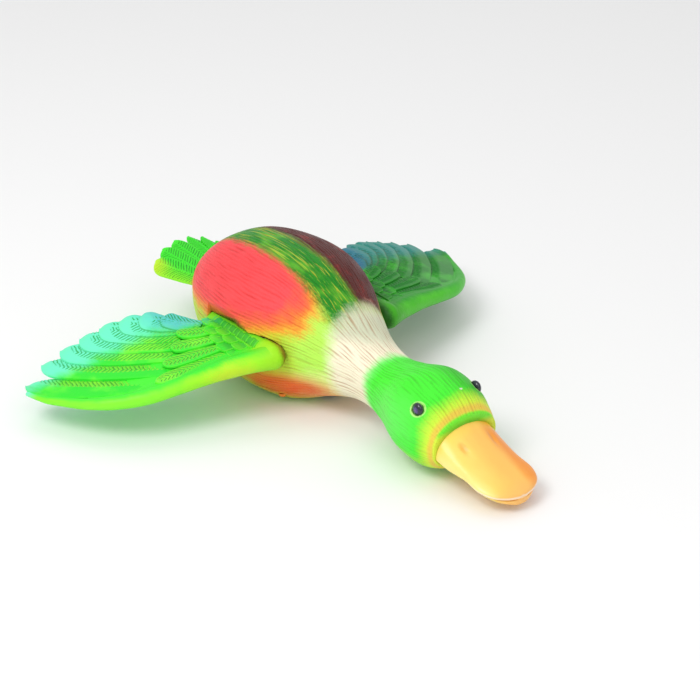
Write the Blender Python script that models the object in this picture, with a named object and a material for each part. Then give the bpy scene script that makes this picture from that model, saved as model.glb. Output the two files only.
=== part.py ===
"""Flapping-wing duck decoy: a soft moulded bird whose two wings beat on a geared, battery-driven hinge.

Frame: metres, +Z up, the bird looks along -Y and its right wing is on the -X side.
The origin is on the ground, midway between the tip of the bill and the tip of the tail.
Driving dimensions are in millimetres, with y counted from the thickest part of the body.
The helper point() moves them to the origin and turns them into metres.
"""
import math

import bmesh
import bpy
from mathutils import Matrix, Vector

MM = 0.001
WELD = 0.000002       # metres: corners closer than this are one corner
FINE = 18             # sides of the large round forms
RUNNING = 12          # sides of a pin and of the bore that it turns in
PLAIN = 8             # sides of bosses, columns and heads
HOLE = 6              # sides of a screw's shank and of its hole

# ---------------------------------------------------------------- driving dimensions, in millimetres

MIDDLE_Y = 36.0       # from the middle of the whole length to the thickest part of the body
GAP = 0.35            # clearance left between pieces that touch
SKIN = 3.2            # wall of the moulded bird
PARTING_Z = 14.0      # the belly pan meets the shell at this height
PAN_FRONT_Y = -50.0
PAN_REAR_Y = 78.0
CAVITY_FRONT_Y = -46.0  # the head, neck and breast in front of it are solid foam
CAVITY_REAR_Y = 103.0

# Cross-sections of the bird from rump to face: y, centre height, half width, rise, drop.
BODY_SECTIONS = (
    (106, 61, 3, 3, 3),
    (102, 61, 21, 14, 14),
    (92, 60, 39, 29, 28),
    (72, 58, 52, 43, 44),
    (45, 56, 60, 50, 55),
    (15, 55, 62, 51, 58),
    (-15, 52, 53, 48, 54),
    (-45, 48, 37, 37, 37),
    (-72, 44, 25.5, 25, 24.5),
    (-95, 41, 23.5, 19, 20.5),
    (-115, 40, 27.5, 22, 24.5),
    (-136, 38, 35, 29, 30),
    (-156, 34, 35, 29, 30),
    (-168, 31, 31.5, 25, 25),
    (-176, 29, 28.5, 18, 18),
)
BACK_FULLNESS = 2.15  # superellipse powers of the upper and lower half
BELLY_FULLNESS = 2.5

# Upper bill from its root in the face to the nail: y, half width, ridge height, edge height.
BILL_SECTIONS = (
    (-164, 26, 44, 24),
    (-174, 26.5, 42, 23),
    (-188, 26, 34.5, 20),
    (-203, 24.5, 28, 18.5),
    (-217, 25, 22.5, 16),
    (-227, 20.5, 18.5, 14),
    (-232.5, 12, 15.5, 12.5),
    (-235, 3, 13.5, 12),
)
BILL_LIP = 2.0        # depth of the upper bill below its edge line
LOWER_BILL_DEPTH = 4.5
LOWER_BILL_TIP_Y = -234.0
BILL_SOCKET_Y = -192.0  # the pocket in the face ends in front of this
NOSTRIL_X = 14.0
NOSTRIL_Y = -188.0
NOSTRIL_RADIUS = 1.7

EYE_CENTRE = (26.5, -156, 53)
EYE_RADIUS = 4.8

# Wing hinges and the gears between them. The wheels lie side by side between the two hinges.
MODULE = 1.2
WHEEL_TEETH = 20
SECTOR_FULL_TEETH = 50
PRESSURE_ANGLE = math.radians(20)
WHEEL_RADIUS = MODULE * WHEEL_TEETH / 2
SECTOR_RADIUS = MODULE * SECTOR_FULL_TEETH / 2
WHEEL_X = WHEEL_RADIUS
HINGE_X = WHEEL_X + WHEEL_RADIUS + SECTOR_RADIUS
HINGE_Z = 50.0
GEAR_FRONT_Y = -9.5
GEAR_REAR_Y = -4.5
SECTOR_LOWEST = -3    # first and last tooth of a sector, counted from the inward horizontal
SECTOR_HIGHEST = 6

PIN_RADIUS = 2.0
RUNNING_FIT = 0.06    # radial clearance of a turning fit
BARREL_RADIUS = 10.0  # moulded shoulder barrel of a wing
BARREL_FRONT_Y = -27.0
BARREL_REAR_Y = 43.0
BARREL_CLEARANCE = 0.8
NOTCH_RADIUS = 6.9    # room in the barrel for the frame ears and the sector hub
BUSH_RADIUS = 3.6
BUSH_LENGTH = 6.0

PLATE = 2.5           # thickness of the frame plates
FRONT_PLATE_Y = -14.0
MOTOR_PLATE_Y = -2.5
REAR_PLATE_Y = 34.0
FRAME_FLOOR_Z = 35.2
FRAME_HALF_X = 29.0
FRAME_TOP_Z = 75.0
REAR_HALF_X = 26.0
REAR_TOP_Z = 65.0
LEG_HALF_X = 3.2
EAR_RADIUS = 5.5
TOP_STANDOFF = (26, 71)
LOW_STANDOFF = (23.2, 31)

# Wing ribs from the shoulder out: x, height and y of the leading edge line, upward slope to the rear.
WING_RIBS = (
    (54, 50, -27, 0.08),
    (75, 47.5, -22, 0.12),
    (95, 44.5, -17, 0.15),
    (122, 39.5, -10, 0.12),
    (150, 33.5, 2, 0.08),
    (172, 28.5, 18, 0.06),
    (192, 24, 50, 0.05),
)
# Rolled leading edge: x, y of its middle and its radius.
LEADING_ROLL = (
    (56, -26.4, 9.4),
    (66, -23, 8.4),
    (84, -17, 7.8),
    (104, -11.5, 7.0),
    (124, -6.5, 6.4),
    (146, 2, 6.0),
    (163, 14, 5.2),
    (176, 29, 4.4),
    (186, 46, 3.5),
    (193.5, 60, 2.7),
    (199, 73, 1.8),
)
# Flight feathers from the innermost to the outermost: root x, y and tip x, y.
FLIGHT_FEATHERS = (
    (70, 37, 88, 62),
    (76, 38, 100, 73),
    (82, 37, 113, 81),
    (89, 34, 127, 87),
    (98, 29, 142, 91),
    (107, 22, 158, 93),
    (118, 12, 175, 92),
    (133, 6, 195, 82),
)
# Greater coverts, which lie on the roots of the flight feathers, from the front: root x, y and tip x, y.
GREATER_COVERTS = (
    (76, -8, 134, 5),
    (76, 2, 120, 16),
    (72, 12, 106, 26),
    (68, 22, 94, 36),
)
FEATHER_WIDTH = 21.0
FEATHER_THICK = 3.4
FEATHER_BEND = 3.5    # how far the middle of a flight feather bows outwards
ARM_THICK = 5.6       # the arm of the wing, under the coverts
COVERT_WIDTH = 13.0
COVERT_THICK = 3.0
COVERT_RISE = 2.7     # the coverts lie this far above the middle of the arm

# Tail feathers on one side, from the middle out: root x, tip x and tip y.
TAIL_FEATHERS = (
    (3.5, 7.5, 163),
    (9.0, 20, 161),
    (13.5, 31, 155),
)
TAIL_ROOT_Y = 84.0
TAIL_ROOT_Z = 52.0

# Battery box in the belly: four AA cells, two side by side in two layers.
CELL_RADIUS = 7.1
CELL_LENGTH = 49.2
BOX_HALF_X = 15.3
BOX_FRONT_Y = -14.5
BOX_REAR_Y = 40.5
BOX_TOP_Z = 32.6
BOX_WALL = 2.0
PAN_FLOOR = 2.6
DOOR_HALF_X = 16.4
DOOR_FRONT_Y = -16.0
DOOR_PIN_Y = 45.0
DOOR_PIN_Z = 3.6
DOOR_PIN_RADIUS = 1.0

STAKE_Y = -25.5
STAKE_BORE = 6.35     # radius: takes a half-inch ground stake
STAKE_SLEEVE = 7.4
STAKE_BOSS = 9.6
STAKE_TOP = 30.0
STAKE_SLEEVE_LOW_Z = 4.5

SWITCH_X = 22.6
SWITCH_Y = 4.0
PAN_SCREWS = ((36.3, -16.2), (37.3, 46.3))
PAN_SCREW_RADIUS = 1.5
PAN_SCREW_HEAD = 3.0
PAN_SCREW_HOLE = 1.85
PAN_SCREW_SEAT_Z = 8.4
COLUMN_RADIUS = 5.2
POST_TOP_Z = 28.0
FRAME_SCREWS = ((22.0, 19.5), (22.0, 31.0))
FRAME_BOSS = 3.6
SCREW_RADIUS = 1.25
SCREW_HEAD = 2.6
SCREW_HOLE = 1.6
LUG_TOP_Z = 9.0

# Motor behind the drive gear, and the control board behind the rear plate.
MOTOR_RADIUS = 10.0
MOTOR_FLAT = 7.8      # half the height of the can between its flats
GEARBOX_HALF = 11.8
GEARBOX_REAR_Y = 14.0
MOTOR_REAR_Y = 38.4
MOTOR_SCREWS = ((-WHEEL_X - 8, HINGE_Z + 8.5), (-WHEEL_X + 8, HINGE_Z - 8.5))
BOARD = ((5, 39.4, 41), (37, 41.0, 64))
BOARD_PARTS = (
    ((24, 40.8, 50), (35, 49, 61)),
    ((8, 40.8, 48), (14, 45, 56)),
    ((26, 40.8, 42.5), (35, 44, 47.5)),
)
BOARD_SCREWS = ((9, 60.5), (21.5, 45))
LEAD_RADIUS = 0.8

COLOURS = {
    "feather_green": (0.10, 0.62, 0.06, 1.0, 0.55, 0.0),
    "coral": (0.86, 0.16, 0.07, 1.0, 0.55, 0.0),
    "bill_orange": (0.95, 0.42, 0.07, 1.0, 0.35, 0.0),
    "eye_dark": (0.02, 0.01, 0.05, 1.0, 0.15, 0.0),
    "frame_plastic": (0.06, 0.06, 0.065, 1.0, 0.5, 0.0),
    "acetal": (0.85, 0.84, 0.78, 1.0, 0.4, 0.0),
    "steel": (0.62, 0.62, 0.62, 1.0, 0.3, 1.0),
    "bronze": (0.55, 0.36, 0.15, 1.0, 0.35, 1.0),
    "board_green": (0.02, 0.20, 0.08, 1.0, 0.4, 0.0),
    "cell_wrap": (0.05, 0.12, 0.30, 1.0, 0.4, 0.0),
    "lead_red": (0.55, 0.02, 0.02, 1.0, 0.45, 0.0),
    "lead_black": (0.02, 0.02, 0.02, 1.0, 0.45, 0.0),
}

PARTS = "flapping_wing_decoy"


# ---------------------------------------------------------------- scene, materials and mesh helpers

def clear_scene():
    for obj in list(bpy.data.objects):
        bpy.data.objects.remove(obj, do_unlink=True)


def parts_collection():
    found = bpy.data.collections.get(PARTS)
    if found is None:
        found = bpy.data.collections.new(PARTS)
        bpy.context.scene.collection.children.link(found)
    return found


def material(name):
    found = bpy.data.materials.get(name)
    if found:
        return found
    red, green, blue, alpha, roughness, metallic = COLOURS[name]
    made = bpy.data.materials.new(name)
    made.use_nodes = True
    shader = made.node_tree.nodes["Principled BSDF"]
    shader.inputs["Base Color"].default_value = (red, green, blue, alpha)
    shader.inputs["Roughness"].default_value = roughness
    shader.inputs["Metallic"].default_value = metallic
    made.diffuse_color = (red, green, blue, alpha)
    return made


def size(x, y, z):
    """A length or a shift in metres."""
    return Vector((x, y, z)) * MM


def point(x, y, z):
    """A place in metres."""
    return size(x, y + MIDDLE_Y, z)


def new_object(name, bm, finish=None, sharp=35):
    """Turns a bmesh in metres into an object of the parts collection."""
    bmesh.ops.recalc_face_normals(bm, faces=bm.faces[:])
    mesh = bpy.data.meshes.new(name)
    bm.to_mesh(mesh)
    bm.free()
    obj = bpy.data.objects.new(name, mesh)
    parts_collection().objects.link(obj)
    if finish:
        mesh.materials.append(material(finish))
    mesh.shade_smooth()
    mesh.set_sharp_from_angle(angle=math.radians(sharp))
    return obj


def evaluated_mesh(obj):
    graph = bpy.context.evaluated_depsgraph_get()
    return bpy.data.meshes.new_from_object(obj.evaluated_get(graph))


def combine(target, operation, *tools):
    """Joins, cuts or intersects the target with closed tool objects, which are used up."""
    for tool in tools:
        modifier = target.modifiers.new("combine", "BOOLEAN")
        modifier.operation = operation
        modifier.solver = "EXACT"
        modifier.object = tool
    mesh = evaluated_mesh(target)
    target.modifiers.clear()
    bm = bmesh.new()
    bm.from_mesh(mesh)
    bmesh.ops.remove_doubles(bm, verts=bm.verts[:], dist=WELD)
    bmesh.ops.dissolve_degenerate(bm, edges=bm.edges[:], dist=WELD)
    bm.to_mesh(mesh)
    bm.free()
    target.data = mesh
    for tool in tools:
        bpy.data.objects.remove(tool, do_unlink=True)
    return target


def cut(target, *tools):
    return combine(target, "DIFFERENCE", *tools)


def join(target, *tools):
    return combine(target, "UNION", *tools)


def mirrored(source, name):
    """The same piece on the other side of the bird."""
    bm = bmesh.new()
    bm.from_mesh(source.data)
    bmesh.ops.transform(bm, matrix=Matrix.Diagonal((-1, 1, 1, 1)), verts=bm.verts[:])
    bmesh.ops.reverse_faces(bm, faces=bm.faces[:])
    mesh = source.data.copy()
    bm.to_mesh(mesh)
    bm.free()
    obj = bpy.data.objects.new(name, mesh)
    parts_collection().objects.link(obj)
    return obj


def box(name, low, high, finish=None, bevel=0.0):
    bm = bmesh.new()
    bmesh.ops.create_cube(bm, size=1)
    sides = [b - a for a, b in zip(low, high)]
    middle = [(a + b) / 2 for a, b in zip(low, high)]
    bmesh.ops.scale(bm, vec=size(*sides), verts=bm.verts[:])
    bmesh.ops.translate(bm, vec=point(*middle), verts=bm.verts[:])
    if bevel:
        bmesh.ops.bevel(bm, geom=bm.edges[:], offset=bevel * MM, segments=1, profile=0.5,
                        affect="EDGES", material=-1)
    return new_object(name, bm, finish)


def rod(name, start, end, radius, finish=None, sides=16, end_radius=None):
    """Cylinder or cone between two points, with a corner of its polygon on the local +X side."""
    a, b = point(*start), point(*end)
    bm = bmesh.new()
    last = radius if end_radius is None else end_radius
    bmesh.ops.create_cone(bm, cap_ends=True, segments=sides, radius1=radius * MM, radius2=last * MM,
                          depth=(b - a).length)
    turn = (b - a).to_track_quat("Z", "Y").to_matrix().to_4x4()
    bmesh.ops.transform(bm, matrix=Matrix.Translation((a + b) / 2) @ turn, verts=bm.verts[:])
    return new_object(name, bm, finish)


def ball(name, centre, radius, finish=None, rings=12, squash=(1, 1, 1)):
    bm = bmesh.new()
    bmesh.ops.create_uvsphere(bm, u_segments=2 * rings, v_segments=rings, radius=radius * MM)
    bmesh.ops.scale(bm, vec=squash, verts=bm.verts[:])
    bmesh.ops.translate(bm, vec=point(*centre), verts=bm.verts[:])
    return new_object(name, bm, finish)


def turned(name, profile, x, z, sides, finish=None):
    """Solid turned about a line along Y: the profile is (y, radius) from front to rear."""
    bm = bmesh.new()
    line = [bm.verts.new(point(x, y, z + radius)) for y, radius in profile]
    for a, b in zip(line, line[1:]):
        bm.edges.new((a, b))
    bmesh.ops.spin(bm, geom=bm.verts[:] + bm.edges[:], cent=point(x, 0, z), axis=(0, 1, 0),
                   angle=2 * math.pi, steps=sides, use_merge=True)
    bmesh.ops.remove_doubles(bm, verts=bm.verts[:], dist=WELD)
    bmesh.ops.holes_fill(bm, edges=bm.edges[:], sides=sides)
    return new_object(name, bm, finish)


def slab(name, outline, front_y, rear_y, finish=None):
    """A flat plate across the bird: an outline in x and z, from front_y to rear_y."""
    bm = bmesh.new()
    face = bm.faces.new([bm.verts.new(point(x, front_y, z)) for x, z in outline])
    grown = bmesh.ops.extrude_face_region(bm, geom=[face])
    moved = [item for item in grown["geom"] if isinstance(item, bmesh.types.BMVert)]
    bmesh.ops.translate(bm, vec=size(0, rear_y - front_y, 0), verts=moved)
    return new_object(name, bm, finish)


def lofted(name, rings, finish=None):
    """Closed solid through rings of equal length, each given as points in millimetres."""
    bm = bmesh.new()
    loops = [[bm.verts.new(point(*p)) for p in ring] for ring in rings]
    count = len(loops[0])
    for near, far in zip(loops, loops[1:]):
        for i in range(count):
            bm.faces.new((near[i], near[(i + 1) % count], far[(i + 1) % count], far[i]))
    bm.faces.new(loops[0])
    bm.faces.new(loops[-1])
    bmesh.ops.triangulate(bm, faces=bm.faces[:])
    return new_object(name, bm, finish)


def smooth_rows(rows, steps):
    """Catmull-Rom curve through rows of numbers, with the given number of steps between two rows."""
    made = []
    for i in range(len(rows) - 1):
        before, here = rows[max(i - 1, 0)], rows[i]
        there, after = rows[i + 1], rows[min(i + 2, len(rows) - 1)]
        for k in range(steps):
            t = k / steps
            made.append([0.5 * (2 * b + (c - a) * t + (2 * a - 5 * b + 4 * c - d) * t * t
                                + (3 * b - a - 3 * c + d) * t ** 3)
                         for a, b, c, d in zip(before, here, there, after)])
    made.append(list(rows[-1]))
    return made


def interpolate(rows, x):
    """Values of a table at x, by straight lines between its rows."""
    if x <= rows[0][0]:
        return rows[0][1:]
    for here, there in zip(rows, rows[1:]):
        if x <= there[0]:
            t = (x - here[0]) / (there[0] - here[0])
            return [a + (b - a) * t for a, b in zip(here[1:], there[1:])]
    return rows[-1][1:]


def power(value, exponent):
    return math.copysign(abs(value) ** (2 / exponent), value)


# ---------------------------------------------------------------- the moulded bird

def body_ring(section, inset, count):
    y, middle, half_width, rise, drop = section
    ring = []
    for i in range(count):
        angle = 2 * math.pi * i / count
        upper = math.sin(angle) >= 0
        fullness = BACK_FULLNESS if upper else BELLY_FULLNESS
        height = max((rise if upper else drop) - inset, 0.6)
        ring.append((max(half_width - inset, 0.6) * power(math.cos(angle), fullness), y,
                     middle + height * power(math.sin(angle), fullness)))
    return ring


def body_form(name, inset=0.0, count=24, steps=2, front=-200.0, rear=200.0, finish=None):
    rows = [r for r in smooth_rows(BODY_SECTIONS, steps) if front <= r[0] <= rear]
    form = lofted(name, [body_ring(r, inset, count) for r in rows], finish)
    under = box("under", (-80, -200, -20), (80, 200, inset if inset else 0.0))
    return cut(form, under)


def bill_ring(section, grow=0.0, below=BILL_LIP):
    """Half-round top over a flat lower side."""
    y, half_width, ridge, edge = section
    ring = []
    for i in range(9):
        angle = math.pi * i / 8
        ring.append(((half_width + grow) * math.cos(angle), y,
                     edge + (ridge + grow - edge) * math.sin(angle) ** 0.9))
    ring.append((-(half_width + grow) * 0.94, y, edge - below - grow))
    ring.append(((half_width + grow) * 0.94, y, edge - below - grow))
    return ring


def lower_bill_ring(section, grow=0.0):
    y, half_width, _, edge = section
    top = edge - BILL_LIP - GAP + grow
    width = half_width * 0.86 + grow
    low = top - LOWER_BILL_DEPTH - 2 * grow
    knee = top - 0.6 * LOWER_BILL_DEPTH - 2 * grow
    return [(width, y, top), (width * 0.5, y, top), (-width * 0.5, y, top), (-width, y, top),
            (-width * 0.92, y, knee), (-width * 0.5, y, low), (width * 0.5, y, low), (width * 0.92, y, knee)]


def bill_rows():
    return smooth_rows(BILL_SECTIONS, 2)


def bill():
    lofted("upper_bill", [bill_ring(r) for r in bill_rows()], "bill_orange")
    for side in (-1, 1):
        nostril = rod("nostril", (side * NOSTRIL_X, NOSTRIL_Y, 44),
                      (side * (NOSTRIL_X - 4), NOSTRIL_Y - 4, 20), NOSTRIL_RADIUS, sides=HOLE)
        cut(bpy.data.objects["upper_bill"], nostril)
    lower = [r for r in bill_rows() if r[0] > LOWER_BILL_TIP_Y]
    lofted("lower_bill", [lower_bill_ring(r) for r in lower], "bill_orange")


def bill_socket():
    """Cutters for the pocket in the face that takes the roots of both halves of the bill."""
    rows = [row for row in bill_rows() if row[0] > BILL_SOCKET_Y]
    rows[0][0] += GAP
    upper = lofted("socket", [bill_ring(r, GAP) for r in rows])
    lower = lofted("socket", [lower_bill_ring(r, GAP) for r in rows])
    return upper, lower


def eye(name, side):
    x, y, z = EYE_CENTRE
    return ball(name, (side * x, y, z), EYE_RADIUS, "eye_dark", rings=6, squash=(0.8, 1, 1))


def eye_socket(side):
    x, y, z = EYE_CENTRE
    return ball("socket", (side * x, y, z), EYE_RADIUS + GAP + 0.1, rings=5, squash=(0.84, 1, 1))


def barrel_form(name, x, radius, rear_y, sides, finish=None):
    """Shoulder barrel with a round nose, or with a larger radius the room that it turns in."""
    nose = [(BARREL_FRONT_Y - radius * math.cos(a), radius * math.sin(a))
            for a in [math.radians(d) for d in (0, 20, 45, 68)]]
    return turned(name, nose + [(BARREL_FRONT_Y, radius), (rear_y, radius)], x, HINGE_Z, sides, finish)


def swing_room(side):
    """Wedge about the hinge that the root of the wing sweeps through."""
    angles = [math.radians(d) for d in (-34, -10, 20, 48, 77)]
    fan = [(side * HINGE_X, HINGE_Z)]
    fan += [(side * (HINGE_X + 26 * math.cos(a)), HINGE_Z + 26 * math.sin(a)) for a in angles]
    return slab("swing_room", fan, BARREL_FRONT_Y - 4, BARREL_REAR_Y + 1)


def shoulder_opening(side):
    return barrel_form("opening", side * HINGE_X, BARREL_RADIUS + BARREL_CLEARANCE, BARREL_REAR_Y + 1, FINE)


def body_shell():
    shell = body_form("body_shell", finish="coral")
    cavity = body_form("cavity", inset=SKIN, count=16, steps=1, front=CAVITY_FRONT_Y,
                       rear=CAVITY_REAR_Y)
    cut(shell, cavity)
    pan_room = box("pan_room", (-80, PAN_FRONT_Y, -10), (80, PAN_REAR_Y, PARTING_Z))
    cut(shell, pan_room)
    for x, y in PAN_SCREWS:
        for side in (-1, 1):
            join(shell, rod("post", (side * x, y, PARTING_Z), (side * x, y, POST_TOP_Z), COLUMN_RADIUS,
                            sides=PLAIN, end_radius=0.8 * COLUMN_RADIUS))
            cut(shell, rod("pilot", (side * x, y, PARTING_Z - 5), (side * x, y, POST_TOP_Z - 1),
                           PAN_SCREW_HOLE, sides=HOLE))
    for side in (-1, 1):
        cut(shell, shoulder_opening(side), swing_room(side))
        cut(shell, eye_socket(side))
    for cutter in bill_socket():
        cut(shell, cutter)
    cut(shell, *tail_blades(GAP))
    return shell


# ---------------------------------------------------------------- belly pan with battery box and stake socket

def mirrored_pairs(places):
    return [(side * x, y) for x, y in places for side in (-1, 1)]


def belly_pan():
    pan = body_form("belly_pan", finish="coral")
    keep = box("keep", (-80, PAN_FRONT_Y + GAP, -5), (80, PAN_REAR_Y, PARTING_Z - GAP))
    combine(pan, "INTERSECT", keep)
    hollow = body_form("hollow", inset=PAN_FLOOR, count=16, steps=1)
    keep = box("keep", (-80, PAN_FRONT_Y + PAN_FLOOR, -5), (80, PAN_REAR_Y, 40))
    combine(hollow, "INTERSECT", keep)
    cut(pan, hollow)
    outer_x = BOX_HALF_X + BOX_WALL
    outer = box("box", (-outer_x, BOX_FRONT_Y - BOX_WALL, 1),
                (outer_x, BOX_REAR_Y + BOX_WALL, BOX_TOP_Z + BOX_WALL))
    lug = box("lug", (-outer_x, BOX_REAR_Y, 1), (outer_x, DOOR_PIN_Y + 6.2, LUG_TOP_Z))
    join(pan, outer, lug)
    for x, y in mirrored_pairs(FRAME_SCREWS):
        beside_box = math.copysign(outer_x - 0.3, x)
        join(pan, rod("boss", (x, y, 1.5), (x, y, FRAME_FLOOR_Z - GAP), FRAME_BOSS, sides=PLAIN),
             box("rib", (min(x, beside_box), y - 1, 1.5), (max(x, beside_box), y + 1, BOX_TOP_Z - 2)))
    for x, y in mirrored_pairs(PAN_SCREWS):
        join(pan, rod("column", (x, y, 10), (x, y, PARTING_Z - GAP), COLUMN_RADIUS, sides=PLAIN))
    boss = rod("boss", (0, STAKE_Y, -5), (0, STAKE_Y, STAKE_TOP), STAKE_BOSS, sides=FINE)
    combine(boss, "INTERSECT", body_form("inside"))
    join(pan, boss)
    cut(pan,
        box("cells", (-BOX_HALF_X, BOX_FRONT_Y, -1), (BOX_HALF_X, BOX_REAR_Y, BOX_TOP_Z)),
        box("door_room", (-DOOR_HALF_X - GAP, DOOR_FRONT_Y - GAP, -1),
            (DOOR_HALF_X + GAP, BOX_REAR_Y + 1, PAN_FLOOR)),
        box("knuckle_room", (-11, BOX_REAR_Y - 1, -1), (11, DOOR_PIN_Y + 4.1, DOOR_PIN_Z + 3.1)),
        rod("stake", (0, STAKE_Y, -1), (0, STAKE_Y, STAKE_TOP - 1.5), STAKE_SLEEVE + 0.3, sides=FINE),
        rod("pin", (-14.5, DOOR_PIN_Y, DOOR_PIN_Z), (14.5, DOOR_PIN_Y, DOOR_PIN_Z),
            DOOR_PIN_RADIUS + 0.35, sides=PLAIN),
        box("knob_room", (SWITCH_X - 2.1, SWITCH_Y - 5.1, -1), (SWITCH_X + 2.1, SWITCH_Y + 5.1, 5.1)))
    for x, y in mirrored_pairs(FRAME_SCREWS):
        cut(pan, rod("pilot", (x, y, 22), (x, y, 40), SCREW_HOLE, sides=HOLE))
    for x, y in mirrored_pairs(PAN_SCREWS):
        cut(pan, rod("hole", (x, y, -1), (x, y, 20), PAN_SCREW_HOLE, sides=HOLE),
            rod("head_room", (x, y, -1), (x, y, PAN_SCREW_SEAT_Z + 2.4), PAN_SCREW_HEAD + 0.6, sides=PLAIN))
    return pan


def battery_door():
    door = box("battery_door", (-DOOR_HALF_X, DOOR_FRONT_Y, 0.3), (DOOR_HALF_X, BOX_REAR_Y, 2.2), "coral")
    arm = box("arm", (-10.5, BOX_REAR_Y - 4, 0.3), (10.5, DOOR_PIN_Y, 2.2))
    knuckle = rod("knuckle", (-10.5, DOOR_PIN_Y, DOOR_PIN_Z), (10.5, DOOR_PIN_Y, DOOR_PIN_Z), 2.6,
                  sides=RUNNING)
    join(door, arm, knuckle)
    for x in (-9, 0, 9):
        join(door, box("grip", (x - 3, DOOR_FRONT_Y + 3, 1.8), (x + 3, DOOR_FRONT_Y + 4.2, 3.4)))
    bore = DOOR_PIN_RADIUS + RUNNING_FIT + 0.02
    cut(door, rod("bore", (-12, DOOR_PIN_Y, DOOR_PIN_Z), (12, DOOR_PIN_Y, DOOR_PIN_Z), bore, sides=PLAIN))
    rod("door_pin", (-14.1, DOOR_PIN_Y, DOOR_PIN_Z), (14.1, DOOR_PIN_Y, DOOR_PIN_Z), DOOR_PIN_RADIUS, "steel",
        sides=PLAIN)
    return door


def cells():
    for layer, z in enumerate((10.2, 25.0)):
        for side in (-1, 1):
            name = f"battery_cell_{2 * layer + (side + 3) // 2}"
            x = side * 7.45
            start = -11.6 if side < 0 else -10.6
            cell = rod(name, (x, start, z), (x, start + CELL_LENGTH, z), CELL_RADIUS, "cell_wrap", sides=18)
            nub_y = start + CELL_LENGTH if side < 0 else start
            away = 1 if side < 0 else -1
            join(cell, rod("nub", (x, nub_y - away, z), (x, nub_y + away, z), 2.6, sides=PLAIN))


def contact(name, y, facing):
    plate = box(name, (-14.6, y - 0.3, 3.2), (14.6, y + 0.3, 32.2), "steel")
    for x in (-7.45, 7.45):
        for z in (10.2, 25.0):
            join(plate, rod("spring", (x, y, z), (x, y + facing * 1.1, z), 3.0, sides=HOLE, end_radius=2.0))
    return plate


def stake_sleeve():
    sleeve = rod("stake_sleeve", (0, STAKE_Y, STAKE_SLEEVE_LOW_Z), (0, STAKE_Y, STAKE_TOP - 2), STAKE_SLEEVE,
                 "steel", sides=FINE)
    cut(sleeve, rod("bore", (0, STAKE_Y, -2), (0, STAKE_Y, STAKE_TOP - 3.2), STAKE_BORE, sides=FINE))
    return sleeve


def switch():
    body = box("switch_body", (SWITCH_X - 3.0, SWITCH_Y - 8.5, 5.3), (SWITCH_X + 3.0, SWITCH_Y + 8.5, 11.8),
               "frame_plastic")
    cut(body, box("slide_room", (SWITCH_X - 1.75, SWITCH_Y - 4.4, 4), (SWITCH_X + 1.75, SWITCH_Y + 4.4, 8.8)))
    box("switch_knob", (SWITCH_X - 1.4, SWITCH_Y - 2.1, 0.5), (SWITCH_X + 1.4, SWITCH_Y + 2.1, 8.4), "acetal")


# ---------------------------------------------------------------- tail

def feather(name, root, tip, width, thick, height, tilt=0.0, bend=0.0, narrow=0.7):
    """A flat blade with a round tip, carried by height(x, y), tilted across and bowed outwards by bend."""
    run = Vector((tip[0] - root[0], tip[1] - root[1]))
    across = Vector((run.y, -run.x)).normalized()
    rings = []
    for s in (0.0, 0.4, 0.8, 0.94, 1.0):
        round_end = 1.0 if s < 0.8 else math.sqrt(max(1 - ((s - 0.8) / 0.205) ** 2, 0.012))
        half = width / 2 * (narrow + (1 - narrow) * min(s / 0.5, 1)) * round_end
        centre = Vector(root) + run * s + across * bend * 4 * s * (1 - s)
        ring = []
        for u, v in ((1, 0), (0.5, 1), (-0.5, 1), (-1, 0), (0, -1)):
            x, y = centre + across * half * u
            ring.append((x, y, height(x, y) + tilt * u + v * thick / 2 * (0.6 + 0.4 * round_end)))
        rings.append(ring)
    return lofted(name, rings, "feather_green")


def tail_height(x, y):
    along = (y - TAIL_ROOT_Y) / (158 - TAIL_ROOT_Y)
    return TAIL_ROOT_Z + 8 * along - 0.0085 * x * x * (0.4 + 0.6 * along)


def tail_blades(grow=0.0):
    """The feathers of the tail, or with a larger size the room that they need in the rump."""
    blades = [box("root", (-15 - grow, 74 - grow, 48.6 - grow), (15 + grow, 96, 54.5 + grow))]
    for root_x, tip_x, tip_y in reversed(TAIL_FEATHERS):
        for side in (-1, 1):
            blades.append(feather("blade", (side * root_x, TAIL_ROOT_Y), (side * tip_x, tip_y),
                                  15.5 + 2 * grow, 3.6 + 2.4 * grow, tail_height,
                                  tilt=-side * 1.0, bend=side * 1.5))
    return blades


def tail_fan():
    root, *blades = tail_blades()
    root.name = "tail_fan"
    root.data.materials.append(material("feather_green"))
    return join(root, *blades)


# ---------------------------------------------------------------- wings

def wing_height(x, y):
    lead_z, lead_y, slope = interpolate(WING_RIBS, x)
    return lead_z + slope * max(y - lead_y, 0)


def covert_height(x, y):
    return wing_height(x, y) + COVERT_RISE


def leading_roll():
    """Tapering tube along the front edge of the wing."""
    curve = bpy.data.curves.new("roll", "CURVE")
    curve.dimensions = "3D"
    curve.bevel_depth = MM
    curve.bevel_resolution = 2
    curve.use_fill_caps = True
    spline = curve.splines.new("POLY")
    rows = LEADING_ROLL
    spline.points.add(len(rows) - 1)
    for place, (x, y, radius) in zip(spline.points, rows):
        place.co = (*point(x, y, wing_height(x, y)), 1)
        place.radius = radius
    obj = bpy.data.objects.new("roll", curve)
    parts_collection().objects.link(obj)
    mesh = evaluated_mesh(obj)
    bm = bmesh.new()
    bm.from_mesh(mesh)
    bmesh.ops.remove_doubles(bm, verts=bm.verts[:], dist=1e-6)
    bpy.data.objects.remove(obj, do_unlink=True)
    return new_object("roll", bm)


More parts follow.
